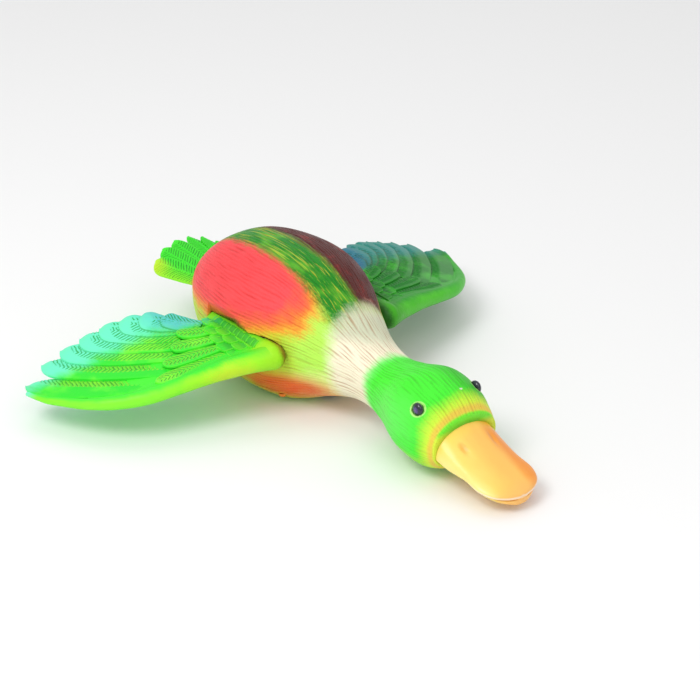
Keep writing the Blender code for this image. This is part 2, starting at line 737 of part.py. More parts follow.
def covert_panel():
    """The solid arm of the wing between the leading edge and the roots of the flight feathers."""
    front = LEADING_ROLL[:8]
    rows = []
    for i, (x, y, radius) in enumerate(front):
        t = i / (len(front) - 1)
        rear_x = x * (1 - t) + (170 - 8 * (1 - t)) * t
        rear_y = 43 - 30 * t ** 1.3 + 24 * t ** 4
        rows.append(((x, y), (max(rear_x - 6 * math.sin(math.pi * t), 54), rear_y), radius))
    rings = []
    for (x, y), (rear_x, rear_y), radius in rows:
        thick = (max(radius * 0.8, ARM_THICK / 2), ARM_THICK / 2, 1.6)
        spots = [(x + (rear_x - x) * f, y + (rear_y - y) * f) for f in (0.0, 0.45, 1.0)]
        top = [(a, b, wing_height(a, b) + h) for (a, b), h in zip(spots, thick)]
        low = [(a, b, wing_height(a, b) - h) for (a, b), h in zip(spots, thick)]
        rings.append(top + low[::-1])
    return lofted("panel", rings)


def left_wing():
    wing = barrel_form("left_wing", HINGE_X, BARREL_RADIUS, BARREL_REAR_Y, FINE, "feather_green")
    join(wing, covert_panel())
    join(wing, leading_roll())
    for root_x, root_y, tip_x, tip_y in reversed(FLIGHT_FEATHERS):
        join(wing, feather("blade", (root_x, root_y), (tip_x, tip_y), FEATHER_WIDTH, FEATHER_THICK,
                           wing_height, tilt=0.9, bend=FEATHER_BEND))
    for root_x, root_y, tip_x, tip_y in reversed(GREATER_COVERTS):
        join(wing, feather("covert", (root_x, root_y), (tip_x, tip_y), COVERT_WIDTH, COVERT_THICK,
                           covert_height, tilt=0.6, bend=1.5))
    front, rear = FRONT_PLATE_Y - 1.2, MOTOR_PLATE_Y + PLATE + 1.2
    ear_front, ear_rear = REAR_PLATE_Y - 1.2, REAR_PLATE_Y + PLATE + 1.2
    for start, end in ((front, rear), (ear_front, ear_rear)):
        cut(wing, rod("notch", (HINGE_X, start, HINGE_Z), (HINGE_X, end, HINGE_Z), NOTCH_RADIUS, sides=FINE),
            box("notch", (HINGE_X - 14, start, HINGE_Z - 8.2), (HINGE_X - 1.2, end, HINGE_Z + 12)))
    cut(wing,
        rod("bore", (HINGE_X, FRONT_PLATE_Y - 4, HINGE_Z), (HINGE_X, BARREL_REAR_Y + 5, HINGE_Z), 2.6,
            sides=RUNNING),
        rod("bush_room", (HINGE_X, rear - 1, HINGE_Z), (HINGE_X, rear + BUSH_LENGTH + 0.4, HINGE_Z),
            BUSH_RADIUS + GAP, sides=RUNNING),
        rod("bush_room", (HINGE_X, ear_front + 1, HINGE_Z), (HINGE_X, ear_front - BUSH_LENGTH - 0.4, HINGE_Z),
            BUSH_RADIUS + GAP, sides=RUNNING),
        box("key", (HINGE_X + 4, GEAR_FRONT_Y - 0.4, HINGE_Z - 2.0),
            (HINGE_X + 14, GEAR_REAR_Y + 0.4, HINGE_Z + 2.0)))
    return wing


def wing_bushes(side, label):
    bore = PIN_RADIUS + RUNNING_FIT + 0.03
    rear = MOTOR_PLATE_Y + PLATE + 1.2
    ear_front = REAR_PLATE_Y - 1.2
    x = side * HINGE_X
    places = (("front_bush", rear + 0.1), ("rear_bush", ear_front - 0.1 - BUSH_LENGTH))
    for name, start in places:
        end = start + BUSH_LENGTH
        bush = rod(f"{label}_{name}", (x, start, HINGE_Z), (x, end, HINGE_Z), BUSH_RADIUS, "bronze",
                   sides=RUNNING)
        cut(bush, rod("bore", (x, start - 1, HINGE_Z), (x, end + 1, HINGE_Z), bore, sides=RUNNING))


def hinge_pin(side, label):
    x = side * HINGE_X
    start, end = FRONT_PLATE_Y - 1.0, REAR_PLATE_Y + PLATE + 0.9
    pin = rod(f"{label}_hinge_pin", (x, start, HINGE_Z), (x, end, HINGE_Z), PIN_RADIUS, "steel",
              sides=RUNNING)
    join(pin, rod("head", (x, end - 0.55, HINGE_Z), (x, end + 0.1, HINGE_Z), 3.2, sides=RUNNING))
    return pin


# ---------------------------------------------------------------- gears and drive frame

def involute(base_radius, radius):
    """Angle rolled by the involute of a base circle at a given radius."""
    if radius <= base_radius:
        return 0.0
    pressure = math.acos(base_radius / radius)
    return math.tan(pressure) - pressure


def tooth_outline(teeth, backlash=0.16):
    """Half angles of one involute tooth, from root to tip, as (radius, half angle) pairs."""
    pitch = MODULE * teeth / 2
    base = pitch * math.cos(PRESSURE_ANGLE)
    root, tip = pitch - 1.25 * MODULE, pitch + 0.95 * MODULE
    half_at_pitch = (math.pi * MODULE / 2 - backlash) / 2 / pitch
    at_base = half_at_pitch + involute(base, pitch)
    pairs = []
    for radius in (root, pitch - 0.15 * MODULE, tip):
        pairs.append((radius, at_base - involute(base, radius)))
    return pairs


def toothed_arc(centre, teeth, first, last, direction, phase):
    """Points of the teeth numbered first to last, turning from the direction angle by the tooth pitch."""
    pairs = tooth_outline(teeth)
    pitch = 2 * math.pi / teeth
    points = []
    for number in range(first, last + 1):
        middle = direction + (number + phase) * pitch
        for radius, half in pairs:
            points.append((radius, middle - half))
        for radius, half in reversed(pairs):
            points.append((radius, middle + half))
    return [(centre[0] + r * math.cos(a), centre[1] + r * math.sin(a)) for r, a in points]


def wheel(name, x, phase):
    outline = toothed_arc((x, HINGE_Z), WHEEL_TEETH, 0, WHEEL_TEETH - 1, 0.0, phase)
    gear = slab(name, outline, GEAR_FRONT_Y, GEAR_REAR_Y, "acetal")
    hub = rod("hub", (x, GEAR_FRONT_Y - 1.6, HINGE_Z), (x, GEAR_REAR_Y + 1.5, HINGE_Z), 5.0, sides=PLAIN)
    join(gear, hub)
    bore = PIN_RADIUS + RUNNING_FIT + 0.03
    cut(gear, rod("bore", (x, GEAR_FRONT_Y - 4, HINGE_Z), (x, GEAR_REAR_Y + 4, HINGE_Z), bore,
                  sides=RUNNING))
    return gear


def sector(name, side, phase):
    """Toothed quadrant on a wing hinge. Its teeth face inwards and its key reaches out into the wing."""
    x = side * HINGE_X
    inward = 0.0 if side < 0 else math.pi
    sense = 1 if side < 0 else -1
    first, last = sorted((sense * SECTOR_LOWEST, sense * SECTOR_HIGHEST))
    arc = toothed_arc((x, HINGE_Z), SECTOR_FULL_TEETH, first, last, inward, phase)
    rim = SECTOR_RADIUS - 5.0
    pitch = 2 * math.pi / SECTOR_FULL_TEETH
    inner = []
    for number in range(last + 1, first - 2, -2):
        angle = inward + (number + phase) * pitch
        inner.append((x + rim * math.cos(angle), HINGE_Z + rim * math.sin(angle)))
    gear = slab(name, arc + inner, GEAR_FRONT_Y, GEAR_REAR_Y, "acetal")
    hub = rod("hub", (x, GEAR_FRONT_Y, HINGE_Z), (x, GEAR_REAR_Y, HINGE_Z), EAR_RADIUS, sides=PLAIN)
    key = box("key", (min(x, x + side * 12.5), GEAR_FRONT_Y, HINGE_Z - 1.6),
              (max(x, x + side * 12.5), GEAR_REAR_Y, HINGE_Z + 1.6))
    join(gear, hub, key)
    for number in (first + 0.5, last - 0.5):
        angle = inward + (number + phase) * pitch
        reach = rim + 1.5
        tip = Vector((math.cos(angle), math.sin(angle))) * reach
        offset = Vector((-math.sin(angle), math.cos(angle)))
        spoke = [(offset * 2.6), (tip + offset * 1.6), (tip - offset * 1.6), (-offset * 2.6)]
        outline = [(x + p.x, HINGE_Z + p.y) for p in spoke]
        join(gear, slab("spoke", outline, GEAR_FRONT_Y + 0.8, GEAR_REAR_Y - 0.8))
    bore = PIN_RADIUS + RUNNING_FIT + 0.03
    cut(gear, rod("bore", (x, GEAR_FRONT_Y - 2, HINGE_Z), (x, GEAR_REAR_Y + 2, HINGE_Z), bore, sides=RUNNING))
    return gear


def eared_plate(name, front_y, half_width, low_z, high_z, finish=None):
    """Upright plate with an ear on each side that carries a wing hinge pin."""
    rear_y = front_y + PLATE
    plate = box(name, (-half_width, front_y, low_z), (half_width, rear_y, high_z), finish)
    for side in (-1, 1):
        x = side * HINGE_X
        root, neck = side * (half_width - 2), side * (HINGE_X - 13)
        arm = slab("arm", [(root, HINGE_Z - 8), (neck, HINGE_Z - 3), (x, HINGE_Z - 3), (x, HINGE_Z + 3),
                           (neck, HINGE_Z + 3), (root, HINGE_Z + 8)], front_y, rear_y)
        ear = rod("ear", (x, front_y, HINGE_Z), (x, rear_y, HINGE_Z), EAR_RADIUS, sides=PLAIN)
        join(plate, arm, ear)
        cut(plate, rod("hole", (x, front_y - 1, HINGE_Z), (x, rear_y + 1, HINGE_Z), PIN_RADIUS + GAP,
                       sides=PLAIN))
    return plate


def standoffs():
    return [(side * x, z) for x, z in (TOP_STANDOFF, LOW_STANDOFF) for side in (-1, 1)]


def front_plate():
    plate = eared_plate("front_plate", FRONT_PLATE_Y, FRAME_HALF_X, FRAME_FLOOR_Z + 0.8, FRAME_TOP_Z,
                        "frame_plastic")
    rear_y = FRONT_PLATE_Y + PLATE
    for side in (-1, 1):
        x = side * LOW_STANDOFF[0]
        join(plate, box("leg", (x - LEG_HALF_X, FRONT_PLATE_Y, LOW_STANDOFF[1] - 3.5),
                        (x + LEG_HALF_X, rear_y, FRAME_FLOOR_Z + 3)))
    for x, z in standoffs():
        join(plate, rod("standoff", (x, rear_y - 1, z), (x, MOTOR_PLATE_Y - GAP, z), 3.0, sides=PLAIN))
        cut(plate, rod("hole", (x, FRONT_PLATE_Y - 1, z), (x, MOTOR_PLATE_Y + 1, z), SCREW_HOLE, sides=HOLE))
    for x in (-WHEEL_X, WHEEL_X):
        cut(plate, rod("hole", (x, FRONT_PLATE_Y - 1, HINGE_Z), (x, rear_y + 1, HINGE_Z),
                       PIN_RADIUS + GAP, sides=PLAIN))
    cut(plate, rod("window", (0, FRONT_PLATE_Y - 1, 66), (0, rear_y + 1, 66), 5, sides=PLAIN))
    return plate


def drive_frame():
    frame = eared_plate("drive_frame", MOTOR_PLATE_Y, FRAME_HALF_X, FRAME_FLOOR_Z, FRAME_TOP_Z,
                        "frame_plastic")
    rear = eared_plate("rear", REAR_PLATE_Y, REAR_HALF_X, FRAME_FLOOR_Z, REAR_TOP_Z)
    floor = box("floor", (-REAR_HALF_X, MOTOR_PLATE_Y, FRAME_FLOOR_Z),
                (REAR_HALF_X, REAR_PLATE_Y + PLATE, FRAME_FLOOR_Z + 2.3))
    join(frame, rear, floor)
    for side in (-1, 1):
        x = side * LOW_STANDOFF[0]
        join(frame, box("leg", (x - LEG_HALF_X, MOTOR_PLATE_Y, LOW_STANDOFF[1] - 3.5),
                        (x + LEG_HALF_X, 0, FRAME_FLOOR_Z + 3)))
        inner, outer = side * (REAR_HALF_X - 1.8), side * REAR_HALF_X
        join(frame, slab("gusset", [(inner, 36), (outer, 36), (outer, 60), (inner, 60)], -1, 8))
    for x, z in standoffs():
        cut(frame, rod("hole", (x, MOTOR_PLATE_Y - 1, z), (x, 1, z), SCREW_HOLE, sides=HOLE))
    for x, radius in ((-WHEEL_X, 2.8), (WHEEL_X, PIN_RADIUS + GAP)):
        cut(frame, rod("hole", (x, MOTOR_PLATE_Y - 1, HINGE_Z), (x, 1, HINGE_Z), radius, sides=PLAIN))
    cut(frame, rod("motor_room", (-WHEEL_X, REAR_PLATE_Y - 1, HINGE_Z), (-WHEEL_X, REAR_PLATE_Y + 5, HINGE_Z),
                   MOTOR_RADIUS + 0.8, sides=FINE))
    for x, y in mirrored_pairs(FRAME_SCREWS):
        cut(frame, rod("hole", (x, y, 30), (x, y, 40), PAN_SCREW_HOLE, sides=HOLE))
    for x, z in MOTOR_SCREWS:
        cut(frame, rod("hole", (x, MOTOR_PLATE_Y - 1, z), (x, 1, z), SCREW_HOLE, sides=HOLE),
            rod("sink", (x, MOTOR_PLATE_Y - 0.4, z), (x, MOTOR_PLATE_Y + 1.7, z), 3.3, sides=PLAIN,
                end_radius=1.5))
    return frame


def motor():
    x = -WHEEL_X
    gearbox = box("gearbox", (x - GEARBOX_HALF, GAP, HINGE_Z - GEARBOX_HALF),
                  (x + GEARBOX_HALF, GEARBOX_REAR_Y, HINGE_Z + GEARBOX_HALF), "frame_plastic", bevel=1.5)
    join(gearbox, rod("boss", (x, GEARBOX_REAR_Y - 1, HINGE_Z), (x, GEARBOX_REAR_Y + 1.2, HINGE_Z), 9.0,
                      sides=RUNNING))
    cut(gearbox, rod("hole", (x, -1, HINGE_Z), (x, 8, HINGE_Z), PIN_RADIUS + GAP, sides=PLAIN))
    for sx, sz in MOTOR_SCREWS:
        cut(gearbox, rod("pilot", (sx, -1, sz), (sx, 7, sz), SCREW_HOLE, sides=HOLE))
    can = rod("motor_can", (x, GEARBOX_REAR_Y + 1.6, HINGE_Z), (x, MOTOR_REAR_Y, HINGE_Z), MOTOR_RADIUS,
              "steel", sides=FINE)
    cap = rod("cap", (x, MOTOR_REAR_Y - 0.4, HINGE_Z), (x, MOTOR_REAR_Y + 1, HINGE_Z), 7.0, sides=RUNNING)
    join(can, cap)
    for low, high in ((-14, -MOTOR_FLAT), (MOTOR_FLAT, 14)):
        cut(can, box("flat", (x - 14, 14, HINGE_Z + low), (x + 14, MOTOR_REAR_Y - 1.4, HINGE_Z + high)))
    shaft = rod("output_shaft", (x, FRONT_PLATE_Y - 0.2, HINGE_Z), (x, 7.4, HINGE_Z), PIN_RADIUS, "steel",
                sides=RUNNING)
    pin = rod("idler_pin", (-x, FRONT_PLATE_Y - 0.9, HINGE_Z), (-x, 0.9, HINGE_Z), PIN_RADIUS, "steel",
              sides=RUNNING)
    join(pin, rod("head", (-x, FRONT_PLATE_Y - 1.2, HINGE_Z), (-x, FRONT_PLATE_Y - 0.35, HINGE_Z), 3.2,
                  sides=RUNNING))
    return shaft


def screw(name, head, tip, radius, head_radius, head_height, sunk=False):
    """Screw whose head starts at the head point and whose shank ends at the tip point."""
    a, b = Vector(head), Vector(tip)
    run = (b - a).normalized()
    shank = rod(name, a + run * head_height * 0.5, b, radius, "steel", sides=HOLE)
    under_head = radius if sunk else head_radius
    top = rod("head", a, a + run * head_height, head_radius, sides=PLAIN, end_radius=under_head)
    join(shank, top)
    return shank


def screws():
    for i, (x, y) in enumerate(mirrored_pairs(PAN_SCREWS)):
        screw(f"pan_screw_{i + 1}", (x, y, PAN_SCREW_SEAT_Z), (x, y, POST_TOP_Z - 2.5), PAN_SCREW_RADIUS,
              PAN_SCREW_HEAD, 2.0)
    for i, (x, y) in enumerate(mirrored_pairs(FRAME_SCREWS)):
        screw(f"frame_screw_{i + 1}", (x, y, FRAME_FLOOR_Z + 4.5), (x, y, 24), SCREW_RADIUS, SCREW_HEAD, 1.8)
    for i, (x, z) in enumerate(standoffs()):
        screw(f"plate_screw_{i + 1}", (x, FRONT_PLATE_Y - 2.1, z), (x, 1.5, z), SCREW_RADIUS,
              SCREW_HEAD, 1.75)
    for i, (x, z) in enumerate(MOTOR_SCREWS):
        screw(f"motor_screw_{i + 1}", (x, MOTOR_PLATE_Y - 0.05, z), (x, 6, z), SCREW_RADIUS, SCREW_HEAD, 1.3,
              sunk=True)


def control_board():
    low, high = BOARD
    board = box("control_board", low, high, "board_green")
    for part_low, part_high in BOARD_PARTS:
        join(board, box("component", part_low, part_high))
    join(board, rod("capacitor", (19, 40.8, 52), (19, 50, 52), 3.2, sides=PLAIN))
    for x, z in BOARD_SCREWS:
        spacer_y = REAR_PLATE_Y + PLATE
        join(board, rod("spacer", (x, spacer_y + GAP, z), (x, low[1] + 0.5, z), 2.2, sides=HOLE))


def lead(name, finish, route):
    """Insulated wire through the given points."""
    curve = bpy.data.curves.new(name, "CURVE")
    curve.dimensions = "3D"
    curve.bevel_depth = LEAD_RADIUS * MM
    curve.bevel_resolution = 1
    curve.use_fill_caps = True
    spline = curve.splines.new("POLY")
    rows = smooth_rows(route, 3)
    spline.points.add(len(rows) - 1)
    for place, row in zip(spline.points, rows):
        place.co = (*point(*row), 1)
    curve.materials.append(material(finish))
    obj = bpy.data.objects.new(name, curve)
    parts_collection().objects.link(obj)


def leads():
    lead("motor_lead_red", "lead_red",
         ((-14, 40.2, 53), (-13, 45, 57), (-4, 47, 62), (4, 45, 61), (8.5, 42.2, 59)))
    lead("motor_lead_black", "lead_black",
         ((-14, 40.2, 47), (-12, 45.5, 45), (-4, 48, 50), (3, 46.5, 50), (6.3, 42, 48.2)))
    lead("battery_lead_red", "lead_red",
         ((12, 43.0, 31), (17, 48, 33), (26, 50, 36), (31, 48, 41), (31, 45, 45.2)))


def build():
    clear_scene()
    body_shell()
    belly_pan()
    bill()
    tail_fan()
    for label, side in (("left", 1), ("right", -1)):
        eye(f"{label}_eye", side)
        wing_bushes(side, label)
        hinge_pin(side, label)
    mirrored(left_wing(), "right_wing")
    wheel("drive_gear", -WHEEL_X, 0.0)
    wheel("idler_gear", WHEEL_X, 0.5)
    sector("right_sector_gear", -1, 0.5)
    sector("left_sector_gear", 1, 0.0)
    front_plate()
    drive_frame()
    motor()
    control_board()
    leads()
    battery_door()
    cells()
    contact("front_contact", BOX_FRONT_Y + 0.8, 1)
    contact("rear_contact", BOX_REAR_Y - 0.8, -1)
    stake_sleeve()
    switch()
    screws()


build()
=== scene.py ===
"""Painted flapping-wing duck decoy: plumage, bill, eyes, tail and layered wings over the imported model.

Lengths in the tables are millimetres, with y counted from the thickest part of the body and the bird
looking along -Y. place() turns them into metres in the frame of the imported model.
"""
import math
from bisect import bisect_left

import bmesh
import bpy
from mathutils import Matrix, Vector, noise


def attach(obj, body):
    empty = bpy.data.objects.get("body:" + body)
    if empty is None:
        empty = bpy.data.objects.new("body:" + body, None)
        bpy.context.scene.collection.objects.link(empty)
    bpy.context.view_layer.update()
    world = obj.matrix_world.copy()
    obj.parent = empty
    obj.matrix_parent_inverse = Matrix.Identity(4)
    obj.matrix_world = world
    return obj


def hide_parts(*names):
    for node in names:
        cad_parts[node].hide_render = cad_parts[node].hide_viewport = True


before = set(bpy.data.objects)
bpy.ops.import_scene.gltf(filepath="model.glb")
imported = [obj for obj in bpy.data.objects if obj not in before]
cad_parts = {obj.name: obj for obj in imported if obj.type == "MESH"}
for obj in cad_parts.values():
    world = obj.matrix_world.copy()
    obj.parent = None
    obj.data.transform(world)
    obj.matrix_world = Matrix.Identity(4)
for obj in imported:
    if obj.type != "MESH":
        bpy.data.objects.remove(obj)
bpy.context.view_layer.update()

MM = 0.001
MIDDLE_Y = 36.0
TURN = 2 * math.pi
WELD = 0.000002       # metres

# ---------------------------------------------------------------- the bird's own measures

# Cross-sections from rump to face: y, centre height, half width, rise, drop.
BODY_SECTIONS = (
    (106, 61, 3, 3, 3),
    (102, 61, 21, 14, 14),
    (92, 60, 39, 29, 28),
    (72, 58, 52, 43, 44),
    (45, 56, 60, 50, 55),
    (15, 55, 62, 51, 58),
    (-15, 52, 53, 48, 54),
    (-45, 48, 37, 37, 37),
    (-72, 44, 25.5, 25, 24.5),
    (-95, 41, 23.5, 19, 20.5),
    (-115, 40, 27.5, 22, 24.5),
    (-136, 38, 35, 29, 30),
    (-156, 34, 35, 29, 30),
    (-168, 31, 31.5, 25, 25),
    (-176, 29, 28.5, 18, 18),
)
BACK_FULLNESS = 2.15
BELLY_FULLNESS = 2.5
PARTING_Z = (13.65, 14.0)

# Upper bill from root to nail: y, half width, ridge height, edge height.
BILL_SECTIONS = (
    (-164, 26, 44, 24),
    (-174, 26.5, 42, 23),
    (-188, 26, 34.5, 20),
    (-203, 24.5, 28, 18.5),
    (-217, 25, 22.5, 16),
    (-227, 20.5, 18.5, 14),
    (-232.5, 12, 15.5, 12.5),
    (-235, 3, 13.5, 12),
)
BILL_LIP = 2.0
BILL_GAP = 0.35

EYE_CENTRE = (26.5, -156, 53)
EYE_RADIUS = 4.8

HINGE_X = 54.0
HINGE_Z = 50.0
BARREL_RADIUS = 10.0
SHOULDER_CLEAR = 10.5   # radius round the hinge that caps the shoulder coverts
SHOULDER_EDGE_X = 63.5  # the cap ends here
BARREL_FRONT_Y = -27.0
BARREL_REAR_Y = 43.0
BARREL_STEPS = 20
BARREL_SIDES = 64
EAR_ROOM_RADIUS = 6.9   # round the ears of the drive frame
PIN_ROOM_RADIUS = 2.6
BUSH_ROOM_RADIUS = 3.95
ROLL_SIDES = 36
PLATE_ROOT_X = 61.5     # the wing's plate starts here

# Wing ribs: x, height and y of the leading edge line, upward slope to the rear.
WING_RIBS = (
    (54, 50, -27, 0.08),
    (75, 47.5, -22, 0.12),
    (95, 44.5, -17, 0.15),
    (122, 39.5, -10, 0.12),
    (150, 33.5, 2, 0.08),
    (172, 28.5, 18, 0.06),
    (192, 24, 50, 0.05),
)
# Rolled leading edge: x, y of its middle and its radius.
LEADING_ROLL = (
    (56, -26.4, 9.4),
    (66, -23, 8.4),
    (84, -17, 7.8),
    (104, -11.5, 7.0),
    (124, -6.5, 6.4),
    (146, 2, 6.0),
    (163, 14, 5.2),
    (176, 29, 4.4),
    (186, 46, 3.5),
    (193.5, 60, 2.7),
    (199, 73, 1.8),
)
# Flight feathers from the innermost out: root x, y and tip x, y.
FLIGHT_FEATHERS = (
    (70, 37, 88, 62),
    (76, 38, 100, 73),
    (82, 37, 113, 81),
    (89, 34, 127, 87),
    (98, 29, 142, 91),
    (107, 22, 158, 93),
    (118, 12, 175, 92),
    (133, 6, 195, 82),
)
# Greater coverts from the front: root x, y and tip x, y.
GREATER_COVERTS = (
    (76, -8, 134, 5),
    (76, 2, 120, 16),
    (72, 12, 106, 26),
    (68, 22, 94, 36),
)
# Scalloped shoulder coverts: x and y of each tip.
SCALLOPS = (
    (81, -11), (82, 0), (80, 11), (77, 22), (72, 32),
    (73, -6), (73, 5), (71, 16), (69, 27),
    (65, -10), (65, 0), (64, 11), (63, 22),
)
SCALLOP_ROOT_X = 57.0   # no scallop starts further in
SCALLOP_WIDTH = 12.5
SCALLOP_THICK = 2.4
FEATHER_WIDTH = 22.5
FEATHER_THICK = 3.4
COVERT_WIDTH = 13.0
COVERT_THICK = 3.0
COVERT_RISE = 2.7

TAIL_FEATHERS = (
    (3.5, 7.5, 163),
    (9.0, 20, 161),
    (13.5, 31, 155),
)
TAIL_ROOT_Y = 84.0


def size(x, y, z):
    """A length or a shift in metres."""
    return Vector((x, y, z)) * MM


def place(x, y, z):
    """A place in metres."""
    return size(x, y + MIDDLE_Y, z)


def spot_of(co):
    """Table millimetres of a place in metres."""
    return co.x / MM, co.y / MM - MIDDLE_Y, co.z / MM


def smooth_rows(rows, steps):
    """Catmull-Rom curve through rows of numbers."""
    made = []
    for i in range(len(rows) - 1):
        before, here = rows[max(i - 1, 0)], rows[i]
        there, after = rows[i + 1], rows[min(i + 2, len(rows) - 1)]
        for k in range(steps):
            t = k / steps
            made.append([0.5 * (2 * b + (c - a) * t + (2 * a - 5 * b + 4 * c - d) * t * t
                                + (3 * b - a - 3 * c + d) * t ** 3)
                         for a, b, c, d in zip(before, here, there, after)])
    made.append(list(rows[-1]))
    return made


def interpolate(rows, x):
    """Values of a table of rows at x, straight between its rows."""
    if x <= rows[0][0]:
        return rows[0][1:]
    for here, there in zip(rows, rows[1:]):
        if x <= there[0]:
            t = (x - here[0]) / (there[0] - here[0])
            return [a + (b - a) * t for a, b in zip(here[1:], there[1:])]
    return rows[-1][1:]


def power(value, exponent):
    """Signed power that squares off a round section."""
    return math.copysign(abs(value) ** (2 / exponent), value)


def ease(low, high, value):
    """Smooth step from 0 at low to 1 at high."""
    t = min(max((value - low) / (high - low), 0.0), 1.0)
    return t * t * (3 - 2 * t)


# ---------------------------------------------------------------- mesh helpers

def piece_from(bm, name, finish, body, replaces=(), sharp=50, recalculate=True):
    """Makes a finished piece from a bmesh and hands it to its body."""
    if recalculate:
        bmesh.ops.recalc_face_normals(bm, faces=bm.faces[:])
    mesh = bpy.data.meshes.new(name)
    bm.to_mesh(mesh)
    bm.free()
    mesh.materials.append(finish)
    mesh.shade_smooth()
    mesh.set_sharp_from_angle(angle=math.radians(sharp))
    piece = bpy.data.objects.new(name, mesh)
    bpy.context.scene.collection.objects.link(piece)
    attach(piece, body)
    if replaces:
        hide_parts(*replaces)
    return piece


def loose_object(bm, name):
    """Helper object for a Boolean."""
    mesh = bpy.data.meshes.new(name)
    bm.to_mesh(mesh)
    bm.free()
    made = bpy.data.objects.new(name, mesh)
    bpy.context.scene.collection.objects.link(made)
    return made


def carve(target, operation, *tools):
    """Applies exact Booleans to a closed bmesh with closed bmeshes and returns the new bmesh."""
    base = loose_object(target, "carving")
    objects = [loose_object(tool, "tool") for tool in tools]
    for tool in objects:
        modifier = base.modifiers.new("carve", "BOOLEAN")
        modifier.operation = operation
        modifier.solver = "EXACT"
        modifier.object = tool
    graph = bpy.context.evaluated_depsgraph_get()
    bm = bmesh.new()
    bm.from_mesh(bpy.data.meshes.new_from_object(base.evaluated_get(graph)))
    for used in [base] + objects:
        bpy.data.objects.remove(used, do_unlink=True)
    bmesh.ops.remove_doubles(bm, verts=bm.verts[:], dist=WELD)
    return bm


def rod(start, end, radius, sides=32):
    """Closed cylinder between two places."""
    a, b = place(*start), place(*end)
    bm = bmesh.new()
    bmesh.ops.create_cone(bm, cap_ends=True, segments=sides, radius1=radius * MM, radius2=radius * MM,
                          depth=(b - a).length)
    turn = (b - a).to_track_quat("Z", "Y").to_matrix().to_4x4()
    bmesh.ops.transform(bm, matrix=Matrix.Translation((a + b) / 2) @ turn, verts=bm.verts[:])
    return bm


def block(low, high):
    """Closed box between two corners."""
    bm = bmesh.new()
    bmesh.ops.create_cube(bm, size=1)
    bmesh.ops.scale(bm, vec=size(*[b - a for a, b in zip(low, high)]), verts=bm.verts[:])
    bmesh.ops.translate(bm, vec=place(*[(a + b) / 2 for a, b in zip(low, high)]), verts=bm.verts[:])
    return bm


def wrapped(around, rings, at, first, last):
    """Ball whose rings are laid out along a form, with a pole at each end.

    at(ring number, angle) gives the place of a corner.
    """
    bm = bmesh.new()
    bmesh.ops.create_uvsphere(bm, u_segments=around, v_segments=rings + 1, radius=1)
    for vert in bm.verts:
        x, y, z = vert.co
        ring = round(math.acos(min(max(z, -1.0), 1.0)) / math.pi * (rings + 1))
        if ring == 0:
            vert.co = first
        elif ring == rings + 1:
            vert.co = last
        else:
            vert.co = at(ring - 1, math.atan2(y, x))
    bmesh.ops.recalc_face_normals(bm, faces=bm.faces[:])
    if bm.calc_volume(signed=True) < 0:
        bmesh.ops.reverse_faces(bm, faces=bm.faces[:])
    return bm


# ---------------------------------------------------------------- paint shop: finishes mixed from nodes

